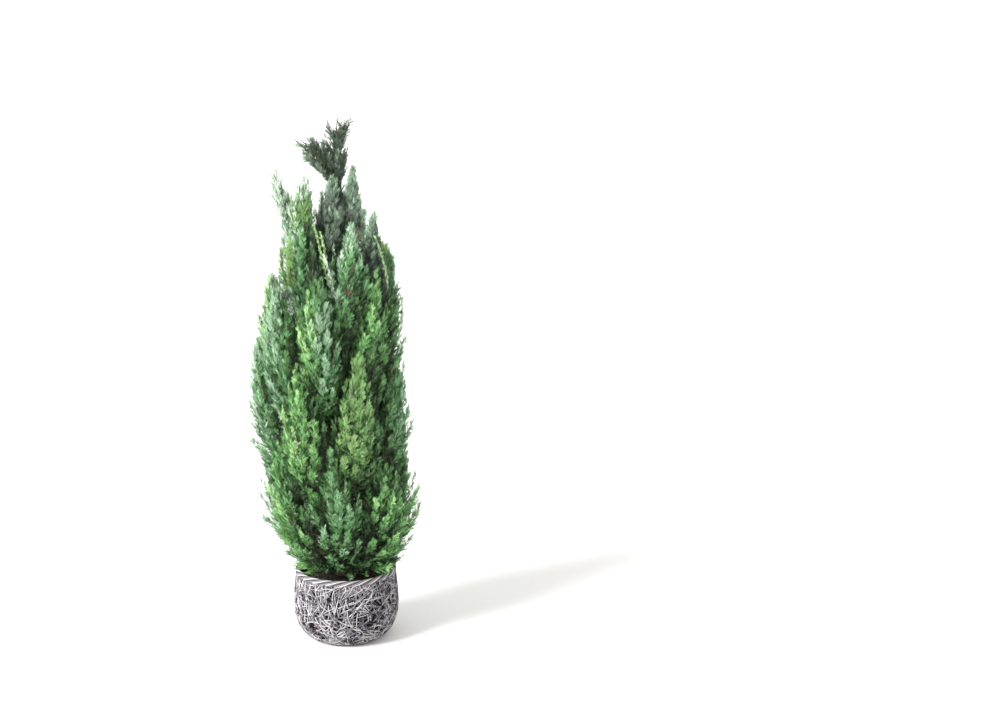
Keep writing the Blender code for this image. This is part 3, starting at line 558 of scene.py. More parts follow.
levels = SOIL_CROWN_Z + GAP + (TRUNK_TOP - SOIL_CROWN_Z - GAP) * np.linspace(0.0, 1.0, 260) ** 1.15
trunk_radii = np.array([trunk_radius(z) for z in levels])
trunk_shape = barked_limb(trunk_line(levels), trunk_radii, sides=36, ridges=(5, 9, 14, 22), seed=3)
trunk_finish = bark_finish("peeling_bark", dark=(56, 42, 34), middle=(94, 72, 58), light=(138, 118, 102))
trunk_bark = joined_mesh("trunk_bark", *trunk_shape, [trunk_finish], smooth=True)
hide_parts("trunk")

# %% [markdown]
# ### Where the plumes grow
# The foliage stands in upright, flame-shaped plumes. Three rings of seven surround the trunk,
# each ring turned so that its plumes fill the gaps of the ring below. Above them come single
# plumes that make the broken shoulder of this very plant, then a narrow neck, a loose head
# and a side shoot. Each plume is an arc, from its foot out towards a knee and up to its tip.

# %% The plumes
SEED = 41
PLANT_TOP = 0.880
# the crown stands to the left of the pot's middle: how far, from which height on and over what rise
CROWN_SHIFT = -0.018
SHIFT_FROM_Z = 0.14
SHIFT_RISE = 0.16
# how far chance turns a plume of a ring, in degrees, and how far it moves it up or down
TURN_SCATTER = 7.0
LEVEL_SCATTER = 0.014
RINGS = (
    dict(name="base", count=7, first_deg=12, foot_z=0.134, tip_z=0.368, foot_reach=0.0,
         knee_reach=0.106, knee_rise=0.08, tip_reach=0.105, girth=0.056, carrier="trunk"),
    dict(name="lower", count=7, first_deg=-14, foot_z=0.250, tip_z=0.506, foot_reach=0.042,
         knee_reach=0.096, knee_rise=0.26, tip_reach=0.118, girth=0.053, carrier="bough"),
    dict(name="middle", count=7, first_deg=10, foot_z=0.372, tip_z=0.646, foot_reach=0.036,
         knee_reach=0.090, knee_rise=0.28, tip_reach=0.096, girth=0.048, carrier="bough"),
)
# two plumes of the middle ring lean to the left and end lower: how far knee and tip are moved
RING_SHIFTS = dict(middle_4=(-0.010, 0.0, -0.024), middle_5=(-0.002, 0.0, -0.014))
# name, foot, knee, tip and girth in millimetres, carrier
SINGLE_PLUMES = (
    ("shoulder_outer", (-36, -2, 536), (-44, -10, 630), (-106, -10, 797), 26, "bough"),
    ("shoulder_inner", (-24, -34, 520), (-56, -66, 610), (-58, -40, 784), 38, "bough"),
    ("front_high", (-2, -36, 504), (20, -82, 584), (24, -46, 712), 37, "bough"),
    ("flank_high", (18, -10, 506), (58, -24, 592), (54, -24, 722), 35, "bough"),
    ("flank_side", (14, 22, 490), (68, 48, 572), (70, 30, 664), 37, "bough"),
    ("back_left", (-42, 22, 530), (-78, 56, 620), (-56, 46, 768), 38, "bough"),
    ("back_right", (-16, 36, 508), (-6, 88, 600), (4, 62, 738), 40, "bough"),
    ("neck_right", (0, 0, 600), (18, -10, 680), (24, -6, 800), 22, "trunk"),
    ("neck_front", (0, 0, 560), (-10, -38, 650), (-10, -20, 776), 34, "trunk"),
    ("neck_back", (0, 0, 580), (-14, 36, 670), (-8, 22, 790), 34, "trunk"),
)


def in_metres(millimetres):
    return np.array(millimetres) / 1000.0


def crown_centre(z):
    share = max(0.0, min(1.0, (z - SHIFT_FROM_Z) / SHIFT_RISE))
    return Vector((CROWN_SHIFT * share * share * (3.0 - 2.0 * share), 0.0, 0.0))


def new_plume(name, tier, foot, knee, tip, girth, carrier, step=0):
    return dict(name=name, tier=tier, foot=np.array(foot), knee=np.array(knee), tip=np.array(tip),
                girth=girth, carrier=carrier, step=step)


def ring_plumes(ring, rng):
    for k in range(ring["count"]):
        scatter = rng.uniform(-TURN_SCATTER, TURN_SCATTER)
        azimuth = math.radians(ring["first_deg"] + 360.0 / ring["count"] * k + scatter)
        out = Vector((math.cos(azimuth), math.sin(azimuth), 0.0))
        lift = rng.uniform(-LEVEL_SCATTER, LEVEL_SCATTER)
        foot_z, tip_z = ring["foot_z"] + lift, ring["tip_z"] + lift
        knee_z = foot_z + (tip_z - foot_z) * ring["knee_rise"]
        foot = crown_centre(foot_z) + out * ring["foot_reach"] + Vector((0.0, 0.0, foot_z))
        if ring["carrier"] == "trunk":
            foot = trunk_centre(foot_z)
        knee = crown_centre(knee_z) + out * ring["knee_reach"] + Vector((0.0, 0.0, knee_z))
        tip = crown_centre(tip_z) + out * ring["tip_reach"] + Vector((0.0, 0.0, tip_z))
        name = f"{ring['name']}_{k + 1}"
        shift = Vector(RING_SHIFTS.get(name, (0.0, 0.0, 0.0)))
        yield new_plume(name, ring["name"], foot, knee + shift, tip + shift, ring["girth"],
                        ring["carrier"], k % 3 - 1)


def all_plumes():
    rng = random.Random(SEED)
    plumes = [plume for ring in RINGS for plume in ring_plumes(ring, rng)]
    for name, foot, knee, tip, girth, carrier in SINGLE_PLUMES:
        tier = "upper"
        start = Vector(in_metres(foot))
        if carrier == "trunk":
            tier = "neck"
            start = trunk_centre(foot[2] / 1000.0)
        plumes.append(new_plume(name, tier, start, Vector(in_metres(knee)), Vector(in_metres(tip)),
                                girth / 1000.0, carrier))
    top = trunk_centre(TRUNK_TOP)
    plumes.append(new_plume("head", "head", top, top + Vector((-0.004, 0.0, 0.050)),
                            Vector((0.001, 0.0, PLANT_TOP)), 0.026, "trunk"))
    plumes.append(new_plume("side_shoot", "head", trunk_centre(0.757), Vector((-0.020, -0.003, 0.806)),
                            Vector((-0.060, -0.005, 0.842)), 0.018, "trunk"))
    return plumes


plumes = all_plumes()
print(f"{len(plumes)} plumes, {sum(p['carrier'] == 'bough' for p in plumes)} of them on boughs")

# %% [markdown]
# ### The boughs
# Most plumes are carried by a bough that leaves the trunk lower down, sweeps out and then
# climbs. All boughs share the bark finish in a redder, younger brown. They are one joined
# mesh, since they are of one kind, and each runs exactly along its plain solid.

# %% Boughs
BOUGH_R = 0.0034
BOUGH_DROP = 0.085
BOUGH_STEP = 0.012
# where a bough turns from outward to upward: share of its way out and of its rise
BEND_OUT = 0.62
BEND_UP = 0.42
STEM_R = 0.0021


def arc_point(foot, knee, tip, share):
    share = np.atleast_1d(share)[:, None]
    return foot * (1.0 - share) ** 2 + knee * 2.0 * (1.0 - share) * share + tip * share ** 2


def barked_bough(plume, seed):
    foot = plume["foot"]
    heading = (plume["knee"] - foot) / np.linalg.norm(plume["knee"] - foot)
    start = np.array(trunk_centre(foot[2] - BOUGH_DROP + plume["step"] * BOUGH_STEP))
    away = (foot - start) * (1.0, 1.0, 0.0)
    elbow = start + away * BEND_OUT + np.array((0.0, 0.0, BOUGH_DROP * BEND_UP))
    shares = np.linspace(0.0, 1.0, 36)
    line = arc_point(start, elbow, foot - heading * GAP, shares)
    radii = BOUGH_R + (STEM_R - BOUGH_R) * shares
    return barked_limb(line, radii, sides=12, ridges=(3, 5, 8), seed=seed)


carried = [plume for plume in plumes if plume["carrier"] == "bough"]
bough_shape = stack_up([barked_bough(plume, 20 + k) for k, plume in enumerate(carried)])
bough_finish = bark_finish("young_bark", dark=(62, 42, 34), middle=(98, 70, 56), light=(138, 110, 92))
bough_bark = joined_mesh("bough_bark", *bough_shape, [bough_finish], smooth=True)
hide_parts(*["bough_" + plume["name"] for plume in carried])

# %% [markdown]
# ### How broad a plume is
# A plume is a flame: it swells soon after its foot, stays broad, and closes to a point. The
# head and the side shoot are loose tufts instead, narrow below and broad near their forked
# end. To keep neighbours apart we also need to ask how deep a place lies inside each plume,
# for which a row of balls along its arc is a good enough measure, and a fast one.

# %% Breadth and depth
LEAST_BREADTH = 0.14
TUFT_NECK = 0.28
TUFT_OPENS = (0.05, 0.57)
# how early and how fully a flame swells, where it is pinched below its point, and how much
FLAME_SKEW = 0.78
FLAME_FULLNESS = 0.62
PINCH_AT = (0.72, 0.22)
PINCH_DEPTH = 0.34
BALLS = 15


def breadth(plume, share):
    share = np.clip(np.asarray(share, float), 0.0, 1.0)
    if plume["tier"] == "head":
        opened = np.clip((share - TUFT_OPENS[0]) / TUFT_OPENS[1], 0.0, 1.0)
        return plume["girth"] * (TUFT_NECK + (1.0 - TUFT_NECK) * opened ** 2 * (3.0 - 2.0 * opened))
    flame = np.sin(math.pi * share ** FLAME_SKEW).clip(0.0, 1.0) ** FLAME_FULLNESS
    pinch = np.clip((share - PINCH_AT[0]) / PINCH_AT[1], 0.0, 1.0)
    flame *= 1.0 - PINCH_DEPTH * pinch ** 2 * (3.0 - 2.0 * pinch)
    return plume["girth"] * np.maximum(LEAST_BREADTH, flame)


def on_axis(plume, share):
    return arc_point(plume["foot"], plume["knee"], plume["tip"], share)


def turned(first, second, turn):
    """Directions at an angle from a first towards a second, row by row."""
    return first * np.cos(turn)[:, None] + second * np.sin(turn)[:, None]


def sideways(plume, share, turn):
    """Unit directions square to the plume's axis, at an angle round it, and the axis itself."""
    ahead = on_axis(plume, np.minimum(share + 0.01, 1.0)) - on_axis(plume, np.maximum(share - 0.01, 0.0))
    ahead /= np.linalg.norm(ahead, axis=1)[:, None]
    first = np.cross((0.0, 1.0, 0.0), ahead)
    first /= np.linalg.norm(first, axis=1)[:, None]
    return turned(first, np.cross(ahead, first), turn), ahead


ball_shares = (np.arange(BALLS) + 0.5) / BALLS
ball_places = np.array([on_axis(plume, ball_shares) for plume in plumes])
ball_sizes = np.array([breadth(plume, ball_shares) for plume in plumes])


def ball_distances(number, places):
    far = np.linalg.norm(places[:, None] - ball_places[number][None], axis=2)
    return far - ball_sizes[number][None]


def depth_in(number, places):
    """Distance from each place to a plume's surface, negative inside."""
    return ball_distances(number, places).min(axis=1)


def outward_of(number, places):
    """The way out of a plume from each place."""
    nearest = ball_distances(number, places).argmin(axis=1)
    return unit(places - ball_places[number][nearest])


print(f"the broadest plume is {2000 * max(p['girth'] for p in plumes):.0f} mm across")

# %% [markdown]
# ### Shoots
# Inside a plume a stem follows the arc, and shoots leave it at the golden angle, the turn of
# 137.5 degrees that spreads shoots evenly in nature. Each shoot first leans out and then
# climbs steeply, so that it ends just under the plume's surface. More of them stand on the
# open side, where the light is. About a quarter stray past the surface, since a smooth
# outline would look clipped, and a few leaders run up straight and pale. The loose head and
# the side shoot gather their upper shoots in prongs of unequal height.

# %% Stems and shoots
GOLDEN_ANGLE = math.radians(137.508)
ANY_TURN = 6.28
SHOOTS = dict(base=56, lower=56, middle=56, upper=52, neck=44, head=26)
# where the tips of the shoots stand along their plume: the lowest, and the range above it
LOWEST_TIP = 0.10
TIP_RANGE = 0.89
# for a flame and for a loose tuft: how tips crowd upwards, how far a shoot climbs, and how far out
# its elbow is, compared with its tip
CROWDING = dict(flame=0.92, tuft=0.75)
CLIMB = dict(flame=0.30, tuft=0.36)
ELBOW_REACH = dict(flame=0.82, tuft=0.30)
ELBOW_HEIGHT = 0.32
SHOOT_REACH = (0.55, 0.90)
OPEN_SIDE = 0.42
STRAY_SHARE = 0.26
STRAY_REACH = 0.011
# leaders are a few of the shoots of middle height, which reach far out and start low
LEADER_SHARE = 0.05
LEADER_ORDER = (0.35, 0.8)
LEADER_REACH = 0.92
LEADER_DROP = 0.08
# the plumes of the shoulder are shaggier than the rest: how much further their shoots reach
SHAGGY = dict(shoulder_outer=0.003, shoulder_inner=0.005, back_left=0.003)
SHAGGY_FROM = 0.62
# where the prongs begin, how their shoots scatter, and each one's facing in degrees, height and width
PRONGS_FROM = 0.35
PRONG_SCATTER = 0.22
PRONGS = dict(
    head=((185.0, 0.88, 0.022), (-5.0, 0.99, 0.024), (70.0, 0.78, 0.012), (280.0, 0.80, 0.012)),
    side_shoot=((180.0, 0.99, 0.016), (10.0, 0.90, 0.016), (90.0, 0.80, 0.012), (185.0, 0.70, 0.020)),
)


def fork(name, order, turn, reach, tip_share, chance):
    """The upper shoots turned into the prongs, the others as they were."""
    upper = order > PRONGS_FROM
    facing, height, width = np.array(PRONGS[name])[np.arange(len(order)) % len(PRONGS[name])].T
    facing = np.radians(facing) + chance.normal(0.0, PRONG_SCATTER, len(order))
    turn = np.where(upper, facing, turn)
    reach = np.where(upper, width * chance.uniform(0.4, 1.0, len(order)) * (0.3 + 0.7 * order), reach)
    return turn, reach, np.where(upper, tip_share * height, tip_share)


def shoots_in(plume, chance):
    """Start, elbow and end of each shoot, whether it strays, and its tones where they are unlike the rest."""
    count = SHOOTS[plume["tier"]]
    order = (np.arange(count) + 0.5) / count
    loose = plume["tier"] == "head"
    habit = "tuft" if loose else "flame"
    tip_share = LOWEST_TIP + TIP_RANGE * order ** CROWDING[habit]
    root_share = np.maximum(0.02, tip_share - CLIMB[habit] * chance.uniform(0.8, 1.2, count))
    spread = np.arange(count) * GOLDEN_ANGLE + chance.uniform(0.0, ANY_TURN)
    middle = on_axis(plume, 0.5)[0] - crown_centre(0.5)
    turn = math.atan2(middle[1], middle[0]) + spread - OPEN_SIDE * np.sin(spread)
    shaggy = SHAGGY.get(plume["name"], 0.0) * (tip_share > SHAGGY_FROM)
    reach = (breadth(plume, tip_share) + shaggy) * chance.uniform(*SHOOT_REACH, count)
    stray = chance.uniform(size=count) < STRAY_SHARE
    leader = (chance.uniform(size=count) < LEADER_SHARE) & (not loose)
    leader &= (order > LEADER_ORDER[0]) & (order < LEADER_ORDER[1])
    reach = np.where(leader, breadth(plume, tip_share) * LEADER_REACH, reach)
    root_share = np.where(leader, np.maximum(0.05, root_share - LEADER_DROP), root_share)
    if loose:
        turn, reach, tip_share = fork(plume["name"], order, turn, reach, tip_share, chance)
    out, ahead = sideways(plume, tip_share, turn)
    elbow_share = root_share + (tip_share - root_share) * ELBOW_HEIGHT
    elbow_reach = reach * ELBOW_REACH[habit]
    end = on_axis(plume, tip_share) + out * reach[:, None]
    end += (out * 0.35 + ahead) * (stray * chance.uniform(0.3, 1.0, count) * STRAY_REACH)[:, None]
    leader_tones = "white" if plume["tier"] in ("upper", "neck") else "straw"
    elbow = on_axis(plume, elbow_share) + out * elbow_reach[:, None]
    return dict(start=on_axis(plume, root_share), elbow=elbow, end=end, stray=stray,
                unlike=np.where(leader, leader_tones, ""))


shoot_table = [shoots_in(plume, np.random.default_rng(100 + k)) for k, plume in enumerate(plumes)]
print(f"{sum(len(shoots['start']) for shoots in shoot_table)} shoots on {len(plumes)} stems")

# %% [markdown]
# ### Side twigs
# Every shoot carries side twigs a finger's breadth long. They too turn by the golden angle,
# lean forward, and get shorter towards the shoot's end. A twig whose tip would leave its plume
# is shortened. One that would stand in a neighbouring plume is left out, so that the dark
# clefts between plumes stay open as on the real plant. Twigs beside a cleft get little light,
# so they are noted as shaded and their sprays take darker tones: painted shade. Where the sky
# shows through, a share of the twigs is missing.

# %% Growing the side twigs
TWIGS_PER_SHOOT = 21
# where they stand along the shoot: the first, the range after it, and the last
FIRST_TWIG = 0.14
TWIG_RANGE = 0.84
LAST_TWIG = 0.97
TWIG_LENGTH = 0.023
TWIG_SPREAD = (0.7, 1.25)
TWIG_LEAN = (18.0, 40.0)
TWIG_LIFT = (0.0, 0.0, 0.25)
TWIG_SIDE = (0.3, 1.0, 0.1)
HEAD_TWIGS = 0.75
LEADER_TWIGS = 0.42
LEAST_TWIG = 0.004
# how far a tip may stand out of its plume, how often and how much a longer twig is shortened, and
# how much further out, or deeper in a neighbour than in its own plume, it may still be after that
OWN_FREEDOM = 0.001
SHORTENINGS = 4
SHORTENED = 0.78
OWN_SLACK = 0.003
CLEFT_SLACK = 0.004
# painted shade: how much darker the tones of twigs beside a cleft get, and the width over which it fades
PAINTED_CLEFT_SHADE = 0.42
CLEFT_WIDTH = 0.015
POT_CLEARANCE = 0.004
# share of side twigs that are missing where the sky shows through
OPEN_SHARE = dict(head=0.42, side_shoot=0.55, shoulder_outer=0.22, back_left=0.15, neck_right=0.15)


def shorter_outward(share):
    """How long twigs are, from the foot to the end of what carries them."""
    return 1.15 - 0.5 * share


def side_twigs(plume, number, shoots, chance):
    """Root, heading, length, share along the shoot, shoot number and painted shade of each twig."""
    which = np.repeat(np.arange(len(shoots["start"])), TWIGS_PER_SHOOT)
    step = np.tile(np.arange(TWIGS_PER_SHOOT), len(shoots["start"]))
    last = step == TWIGS_PER_SHOOT - 1
    arc = [shoots[key][which] for key in ("start", "elbow", "end")]
    share = FIRST_TWIG + TWIG_RANGE * (step + chance.uniform(0.2, 0.8, len(step))) / TWIGS_PER_SHOOT
    share = np.where(last, LAST_TWIG, share)
    root = arc_point(*arc, share)
    ahead = unit(arc_point(*arc, share + 0.02) - arc_point(*arc, share - 0.02))
    first = unit(np.cross(ahead, TWIG_SIDE))
    turn = chance.uniform(0.0, ANY_TURN, len(shoots["start"]))[which] + step * GOLDEN_ANGLE
    around = turned(first, np.cross(ahead, first), turn)
    lean = np.radians(chance.uniform(*TWIG_LEAN, len(step)) * (1.0 - 0.40 * share))
    lean = np.where(last, lean * 0.3, lean)
    heading = unit(turned(ahead, around, lean) + TWIG_LIFT)
    length = TWIG_LENGTH * shorter_outward(share) * chance.uniform(*TWIG_SPREAD, len(step))
    if plume["tier"] == "head":
        length *= HEAD_TWIGS
    length = np.where(shoots["unlike"][which] != "", length * LEADER_TWIGS, length)
    freedom = np.where(shoots["stray"][which], STRAY_REACH, OWN_FREEDOM) + SHAGGY.get(plume["name"], 0.0)
    for _ in range(SHORTENINGS):
        own = depth_in(number, root + heading * length[:, None])
        length = np.where(own > freedom, length * SHORTENED, length)
    tips = root + heading * length[:, None]
    own = depth_in(number, tips)
    others = np.min([depth_in(k, tips) for k in range(len(plumes)) if k != number], axis=0)
    keep = (own <= freedom + OWN_SLACK) & (others - own > -CLEFT_SLACK) & (length > LEAST_TWIG)
    over_pot = np.hypot(tips[:, 0], tips[:, 1]) < POT_BELLY_R
    keep &= ~(over_pot & (tips[:, 2] < POT_HEIGHT + POT_CLEARANCE))
    keep &= chance.uniform(size=len(step)) >= OPEN_SHARE.get(plume["name"], 0.0)
    # painted shade: twigs near a neighbouring plume take darker tones
    shade = PAINTED_CLEFT_SHADE * np.clip(1.0 - others / CLEFT_WIDTH, 0.0, 1.0)
    twigs = dict(root=root, heading=heading, length=length, share=share, shoot=which, shade=shade)
    return {key: rows[keep] for key, rows in twigs.items()}

# %% [markdown]
# ### Limbs seen on this very plant
# Chance alone gives a good cypress, but not this one. A pale leader in front, a ragged edge of
# the shoulder and a few more limbs are seen on the real plant, so they are listed one by one,
# with short twigs. Other limbs of the list stand inside the crown, their tones darkened as
# painted shade. Together with twigs on the trunk itself, darkened the same way, they close the
# view right through the plant.

# %% Listed limbs and twigs on the trunk
# host plume, family of tones or none for a dark one in painted shade, start, elbow and end in
# millimetres, number of twigs, their least and most length in millimetres
LIMBS = (
    ("back_left", "", (-12, 4, 430), (-94, 10, 480), (-88, 12, 606), 120, 18, 30),
    ("back_left", "", (-30, 20, 520), (-85, 30, 560), (-84, 30, 685), 120, 16, 26),
    ("back_right", "", (-10, 30, 540), (6, 50, 600), (4, 48, 710), 110, 18, 28),
    ("shoulder_outer", "grey", (-50, 0, 600), (-82, 0, 625), (-90, 0, 704), 90, 8, 14),
    ("side_shoot", "shade", (-4, 0, 765), (-12, -2, 800), (-22, -3, 832), 60, 8, 13),
    ("flank_side", "", (-6, 4, 440), (72, 12, 470), (84, 20, 588), 110, 18, 28),
    ("shoulder_outer", "grey", (-40, 0, 560), (-56, 4, 620), (-80, 4, 728), 80, 12, 20),
    ("neck_front", "ashen", (-8, -12, 600), (-32, -12, 670), (-26, -8, 748), 80, 10, 16),
    ("flank_high", "shade", (26, -10, 580), (40, -12, 650), (41, -12, 722), 80, 10, 16),
    ("neck_right", "shade", (16, -4, 640), (40, -6, 680), (35, -4, 746), 44, 4, 8),
    ("middle_6", "straw", (-10, -60, 590), (-14, -86, 640), (-32, -84, 714), 44, 4, 7),
    ("middle_6", "straw", (-10, -60, 590), (-7, -88, 640), (-22, -86, 700), 36, 4, 7),
    ("middle_6", "white", (-4, -62, 575), (-2, -92, 620), (-16, -90, 664), 56, 5, 9),
    ("middle_7", "straw", (78, -40, 585), (86, -64, 630), (64, -66, 690), 40, 4, 7),
    ("shoulder_inner", "bright", (-60, -50, 590), (-76, -76, 620), (-71, -74, 680), 90, 12, 18),
    ("shoulder_inner", "bright", (-64, -50, 590), (-90, -68, 620), (-86, -64, 668), 60, 9, 15),
)
# painted shade of the dark listed limbs' tones; above one half it also makes their sprays coarse and keeps
# them from withering
LIMB_SHADE = 0.55
LIMB_LEAN = {"": (0.5, 0.9), "straw": (0.05, 0.22), "white": (0.08, 0.28)}
USUAL_LIMB_LEAN = (0.2, 0.5)
# plume that keeps the trunk's twigs of its height, their lowest and highest root, step, length, painted shade
# above one half the painted shade also makes their sprays coarse and keeps them from withering
TRUNK_TWIGS = dict(
    base_1=(0.145, 0.270, 0.0024, 0.030, 0.055, 0.8),
    lower_1=(0.270, 0.400, 0.0024, 0.035, 0.060, 0.8),
    middle_1=(0.400, 0.530, 0.0024, 0.035, 0.060, 0.8),
    shoulder_outer=(0.530, 0.655, 0.0024, 0.028, 0.050, 0.7),
    head=(0.655, 0.772, 0.0013, 0.014, 0.024, 0.25),
)


def trunk_twigs(low, high, step, least, most, shade, chance):
    """Twigs on the trunk itself, their tones darkened inside the crown as painted shade, longer where it is
    wide.
    """
    level = np.arange(low, high, step)
    around = around_axis(np.arange(len(level)) * GOLDEN_ANGLE, 1.0, 0.0)
    heading = unit(around * chance.uniform(0.4, 0.8, len(level))[:, None] + (0.0, 0.0, 0.9))
    return dict(root=trunk_line(level), heading=heading, length=chance.uniform(least, most, len(level)),
                share=np.full(len(level), 0.5), shoot=np.zeros(len(level), int),
                shade=np.full(len(level), shade))


def limb_twigs(limb, shoot_number, chance):
    """Twigs of one listed limb, turning round it by the golden angle."""
    _, family, start, elbow, end, count, least, most = limb
    shares = np.linspace(0.22, 1.0, count)
    root = arc_point(in_metres(start), in_metres(elbow), in_metres(end), shares)
    ahead = unit(np.gradient(root, axis=0))
    first = unit(np.cross(ahead, TWIG_SIDE))
    around = turned(first, np.cross(ahead, first), np.arange(count) * GOLDEN_ANGLE)
    lean = chance.uniform(*LIMB_LEAN.get(family, USUAL_LIMB_LEAN), count)
    length = chance.uniform(least / 1000.0, most / 1000.0, count) * shorter_outward(shares)
    return dict(root=root, heading=unit(ahead + around * lean[:, None]), length=length, share=shares,
                shoot=np.full(count, shoot_number), shade=np.full(count, 0.0 if family else LIMB_SHADE))


def joined(first, second):
    """Two tables with the same columns as one."""
    return {key: np.concatenate([first[key], second[key]]) for key in first}


twig_table = []
for number, plume in enumerate(plumes):
    chance = np.random.default_rng(200 + number)
    twigs = side_twigs(plume, number, shoot_table[number], chance)
    for limb in [limb for limb in LIMBS if limb[0] == plume["name"]]:
        shoots = shoot_table[number]
        twigs = joined(twigs, limb_twigs(limb, len(shoots["start"]), chance))
        start, elbow, end = in_metres(limb[2:5])
        limb_row = dict(start=[start], elbow=[elbow], end=[end], stray=[False], unlike=[limb[1]])
        shoot_table[number] = joined(shoots, limb_row)
    if plume["name"] in TRUNK_TWIGS:
        twigs = joined(twigs, trunk_twigs(*TRUNK_TWIGS[plume["name"]], chance))
    twig_table.append(twigs)
print(f"{sum(len(twigs['root']) for twigs in twig_table)} twigs, {len(LIMBS)} limbs from the list")

# %% [markdown]
# ### One spray
# A cypress leaf is a tiny blade pressed along its twig, so what we see is a spray: a narrow
# feather, mostly rib, with a few fine points that lie close to it. Four blades of one triangle
# each and a folded rib of two make it. Every blade is tilted its own way and stands a little
# out of the spray's plane, so each catches the light differently, and that makes foliage
# sparkle. Eight different feathers avoid repeats.

# %% Spray patterns
PAIRS = 2
PATTERNS = 8
# in lengths of a spray: where the first blade leaves the rib, the way to the next pair and from the
# left blade to the right one, and how far each blade may stand off its place
FIRST_BLADE = 0.14
PAIR_STEP = 0.28
HAND_STEP = 0.13
BLADE_SCATTER = 0.04
BLADE_WIDTH = 0.075
RIB_WIDTH = 0.055
FOLD = 0.02
MOST_ARCH = 0.16
# how far blades lean away from the rib, in degrees, and out of the spray's plane, in radians
BLADE_LEAN = (14.0, 27.0)
MOST_TILT = 0.6


def spray_pattern(seed):
    """Corners and triangles of one spray of length one along X, nearly flat in X and Y."""
    chance = random.Random(seed)
    corners, tris = [], []
    arch = chance.uniform(-MOST_ARCH, MOST_ARCH)

    def rib(x):
        return np.array((x, arch * x * x, 0.0))

    for pair in range(PAIRS):
        for hand in (1.0, -1.0):
            x = FIRST_BLADE + PAIR_STEP * pair + (HAND_STEP if hand < 0 else 0.0)
            x += chance.uniform(-BLADE_SCATTER, BLADE_SCATTER)
            lean = math.radians(chance.uniform(*BLADE_LEAN))
            length = (0.46 - 0.12 * x) * chance.uniform(0.85, 1.2)
            tilt = chance.uniform(-MOST_TILT, MOST_TILT)
            heading = np.array((math.cos(lean), hand * math.sin(lean) * math.cos(tilt),
                                math.sin(lean) * math.sin(tilt))) * length
            aside = (-math.sin(lean) * BLADE_WIDTH, hand * math.cos(lean) * BLADE_WIDTH, FOLD)
            tris.append((len(corners), len(corners) + 1, len(corners) + 2))
            corners += [rib(x), rib(x) + heading * 0.45 + aside, rib(x) + heading]
    first = len(corners)
    middle = rib(0.42)
    corners += [rib(-0.06), middle + (0.0, RIB_WIDTH, FOLD), rib(1.0), middle - (0.0, RIB_WIDTH, -FOLD)]
    tris += [(first, first + 1, first + 2), (first, first + 2, first + 3)]
    return np.array(corners), np.array(tris)


patterns = [spray_pattern(60 + k) for k in range(PATTERNS)]
print(f"a spray is {len(patterns[0][1])} triangles")

# %% [markdown]
# ### Painted shade in hollows, painted light on swells
# The lit face of the real plant isn't even. Between its limbs lie dark hollows, and some limbs
# swell out into the light. Each is listed as a soft round patch of the front that makes its
# sprays darker, painted shade, or lighter, painted light, because the plume's own shape is too
# plain to give such shadows.

# %% Where the front is darker or lighter
# painted shade in hollows and painted light on swells of the front: x, z, half width and half
# height in millimetres, change of tone
PAINTED_SHADE_AND_LIGHT = (
    (-6, 712, 12, 46, -0.50), (-38, 668, 11, 55, -0.60), (-30, 622, 10, 22, -0.50),
    (-72, 628, 9, 36, -0.55), (-76, 556, 12, 45, -0.30), (26, 622, 9, 34, -0.45),
    (20, 552, 14, 48, -0.35), (72, 600, 12, 60, -0.35), (-34, 500, 10, 30, -0.30),
    (58, 480, 14, 45, -0.30), (-102, 560, 18, 55, 0.22), (-12, 560, 16, 50, 0.22),
    (-78, 668, 13, 14, 0.25), (-52, 745, 10, 32, 0.15), (-50, 530, 13, 30, 0.20),
    (44, 545, 12, 40, 0.18), (-22, 556, 34, 50, 0.22),
)


def painted_shade_and_light_at(places):
    """Painted shade and painted light: how much darker or lighter the sprays of the front are at each place.
    """
    shift = np.zeros(len(places))
    for *spot, change in PAINTED_SHADE_AND_LIGHT:
        x, z, half_width, half_height = in_metres(spot)
        far = ((places[:, 0] - x) / half_width) ** 2 + ((places[:, 2] - z) / half_height) ** 2
        shift += change * np.exp(-0.7 * far)
    return np.where(places[:, 1] < 0.0, shift, 0.0)


print(f"{len(PAINTED_SHADE_AND_LIGHT)} patches of shade and light on the front")

# %% [markdown]
# ### Sprays along the twigs
# The sprays of this plant stand in two ranks, left and right, so each side twig with its
# sprays is a flat little frond. Fronds lie along the plume's face like feathers on a bird,
# each a little turned, and that gives every plume its own light side and dark side. The last
# spray goes straight on, and a bare twig here and there keeps only that one. Deep in the shade
# the sprays are fewer and coarser, and many have withered, as in any dense hedge plant. For
# its tone we note how far out each spray stands, as young tips are pale and the inside darker,
# partly older leaves and partly painted shade. Less is noted where its twig is shaded or in a
# hollow, and more on a swell and a little more on the sunny side: painted shade and painted light.

# %% Growing the sprays
SPRAY_SPACING = 0.00205
SPRAY_LENGTH = 0.0095
SPRAY_LEAN = (15.0, 30.0)
SPRAY_SPREAD = (0.75, 1.2)
LEADER_SPRAYS = 0.66
# how far sprays turn out of the face, and bend out of their rank's plane
FACE_SCATTER = 0.55
RANK_SCATTER = 0.22
INNER_FROM = 0.12
INNER_GROWTH = 0.8
INNER_THINNING = 1.6
DEEP_SHADE = 0.5
# what lets a spray count as an outer one: its twig's place, its own, and how near the surface it is
TWIG_WEIGHT = 0.25
SPRAY_WEIGHT = 0.15
EDGE_WEIGHT = 0.60
# painted light: sprays facing left, towards the key light, take paler tones, those facing right darker ones
PAINTED_SUN_SIDE = 0.13
HEAD_DARKER = 0.25
# withered sprays: from which depth, how fast they grow more, and the most of them by tier
WITHERED_FROM = 0.25
WITHERED_RATE = 2.4
WITHERED_USUAL = 0.75
WITHERED_MOST = dict(base=0.25)
BARE_SHARE = dict(base=0.01, lower=0.01, middle=0.01, upper=0.02, neck=0.02, head=0.03)


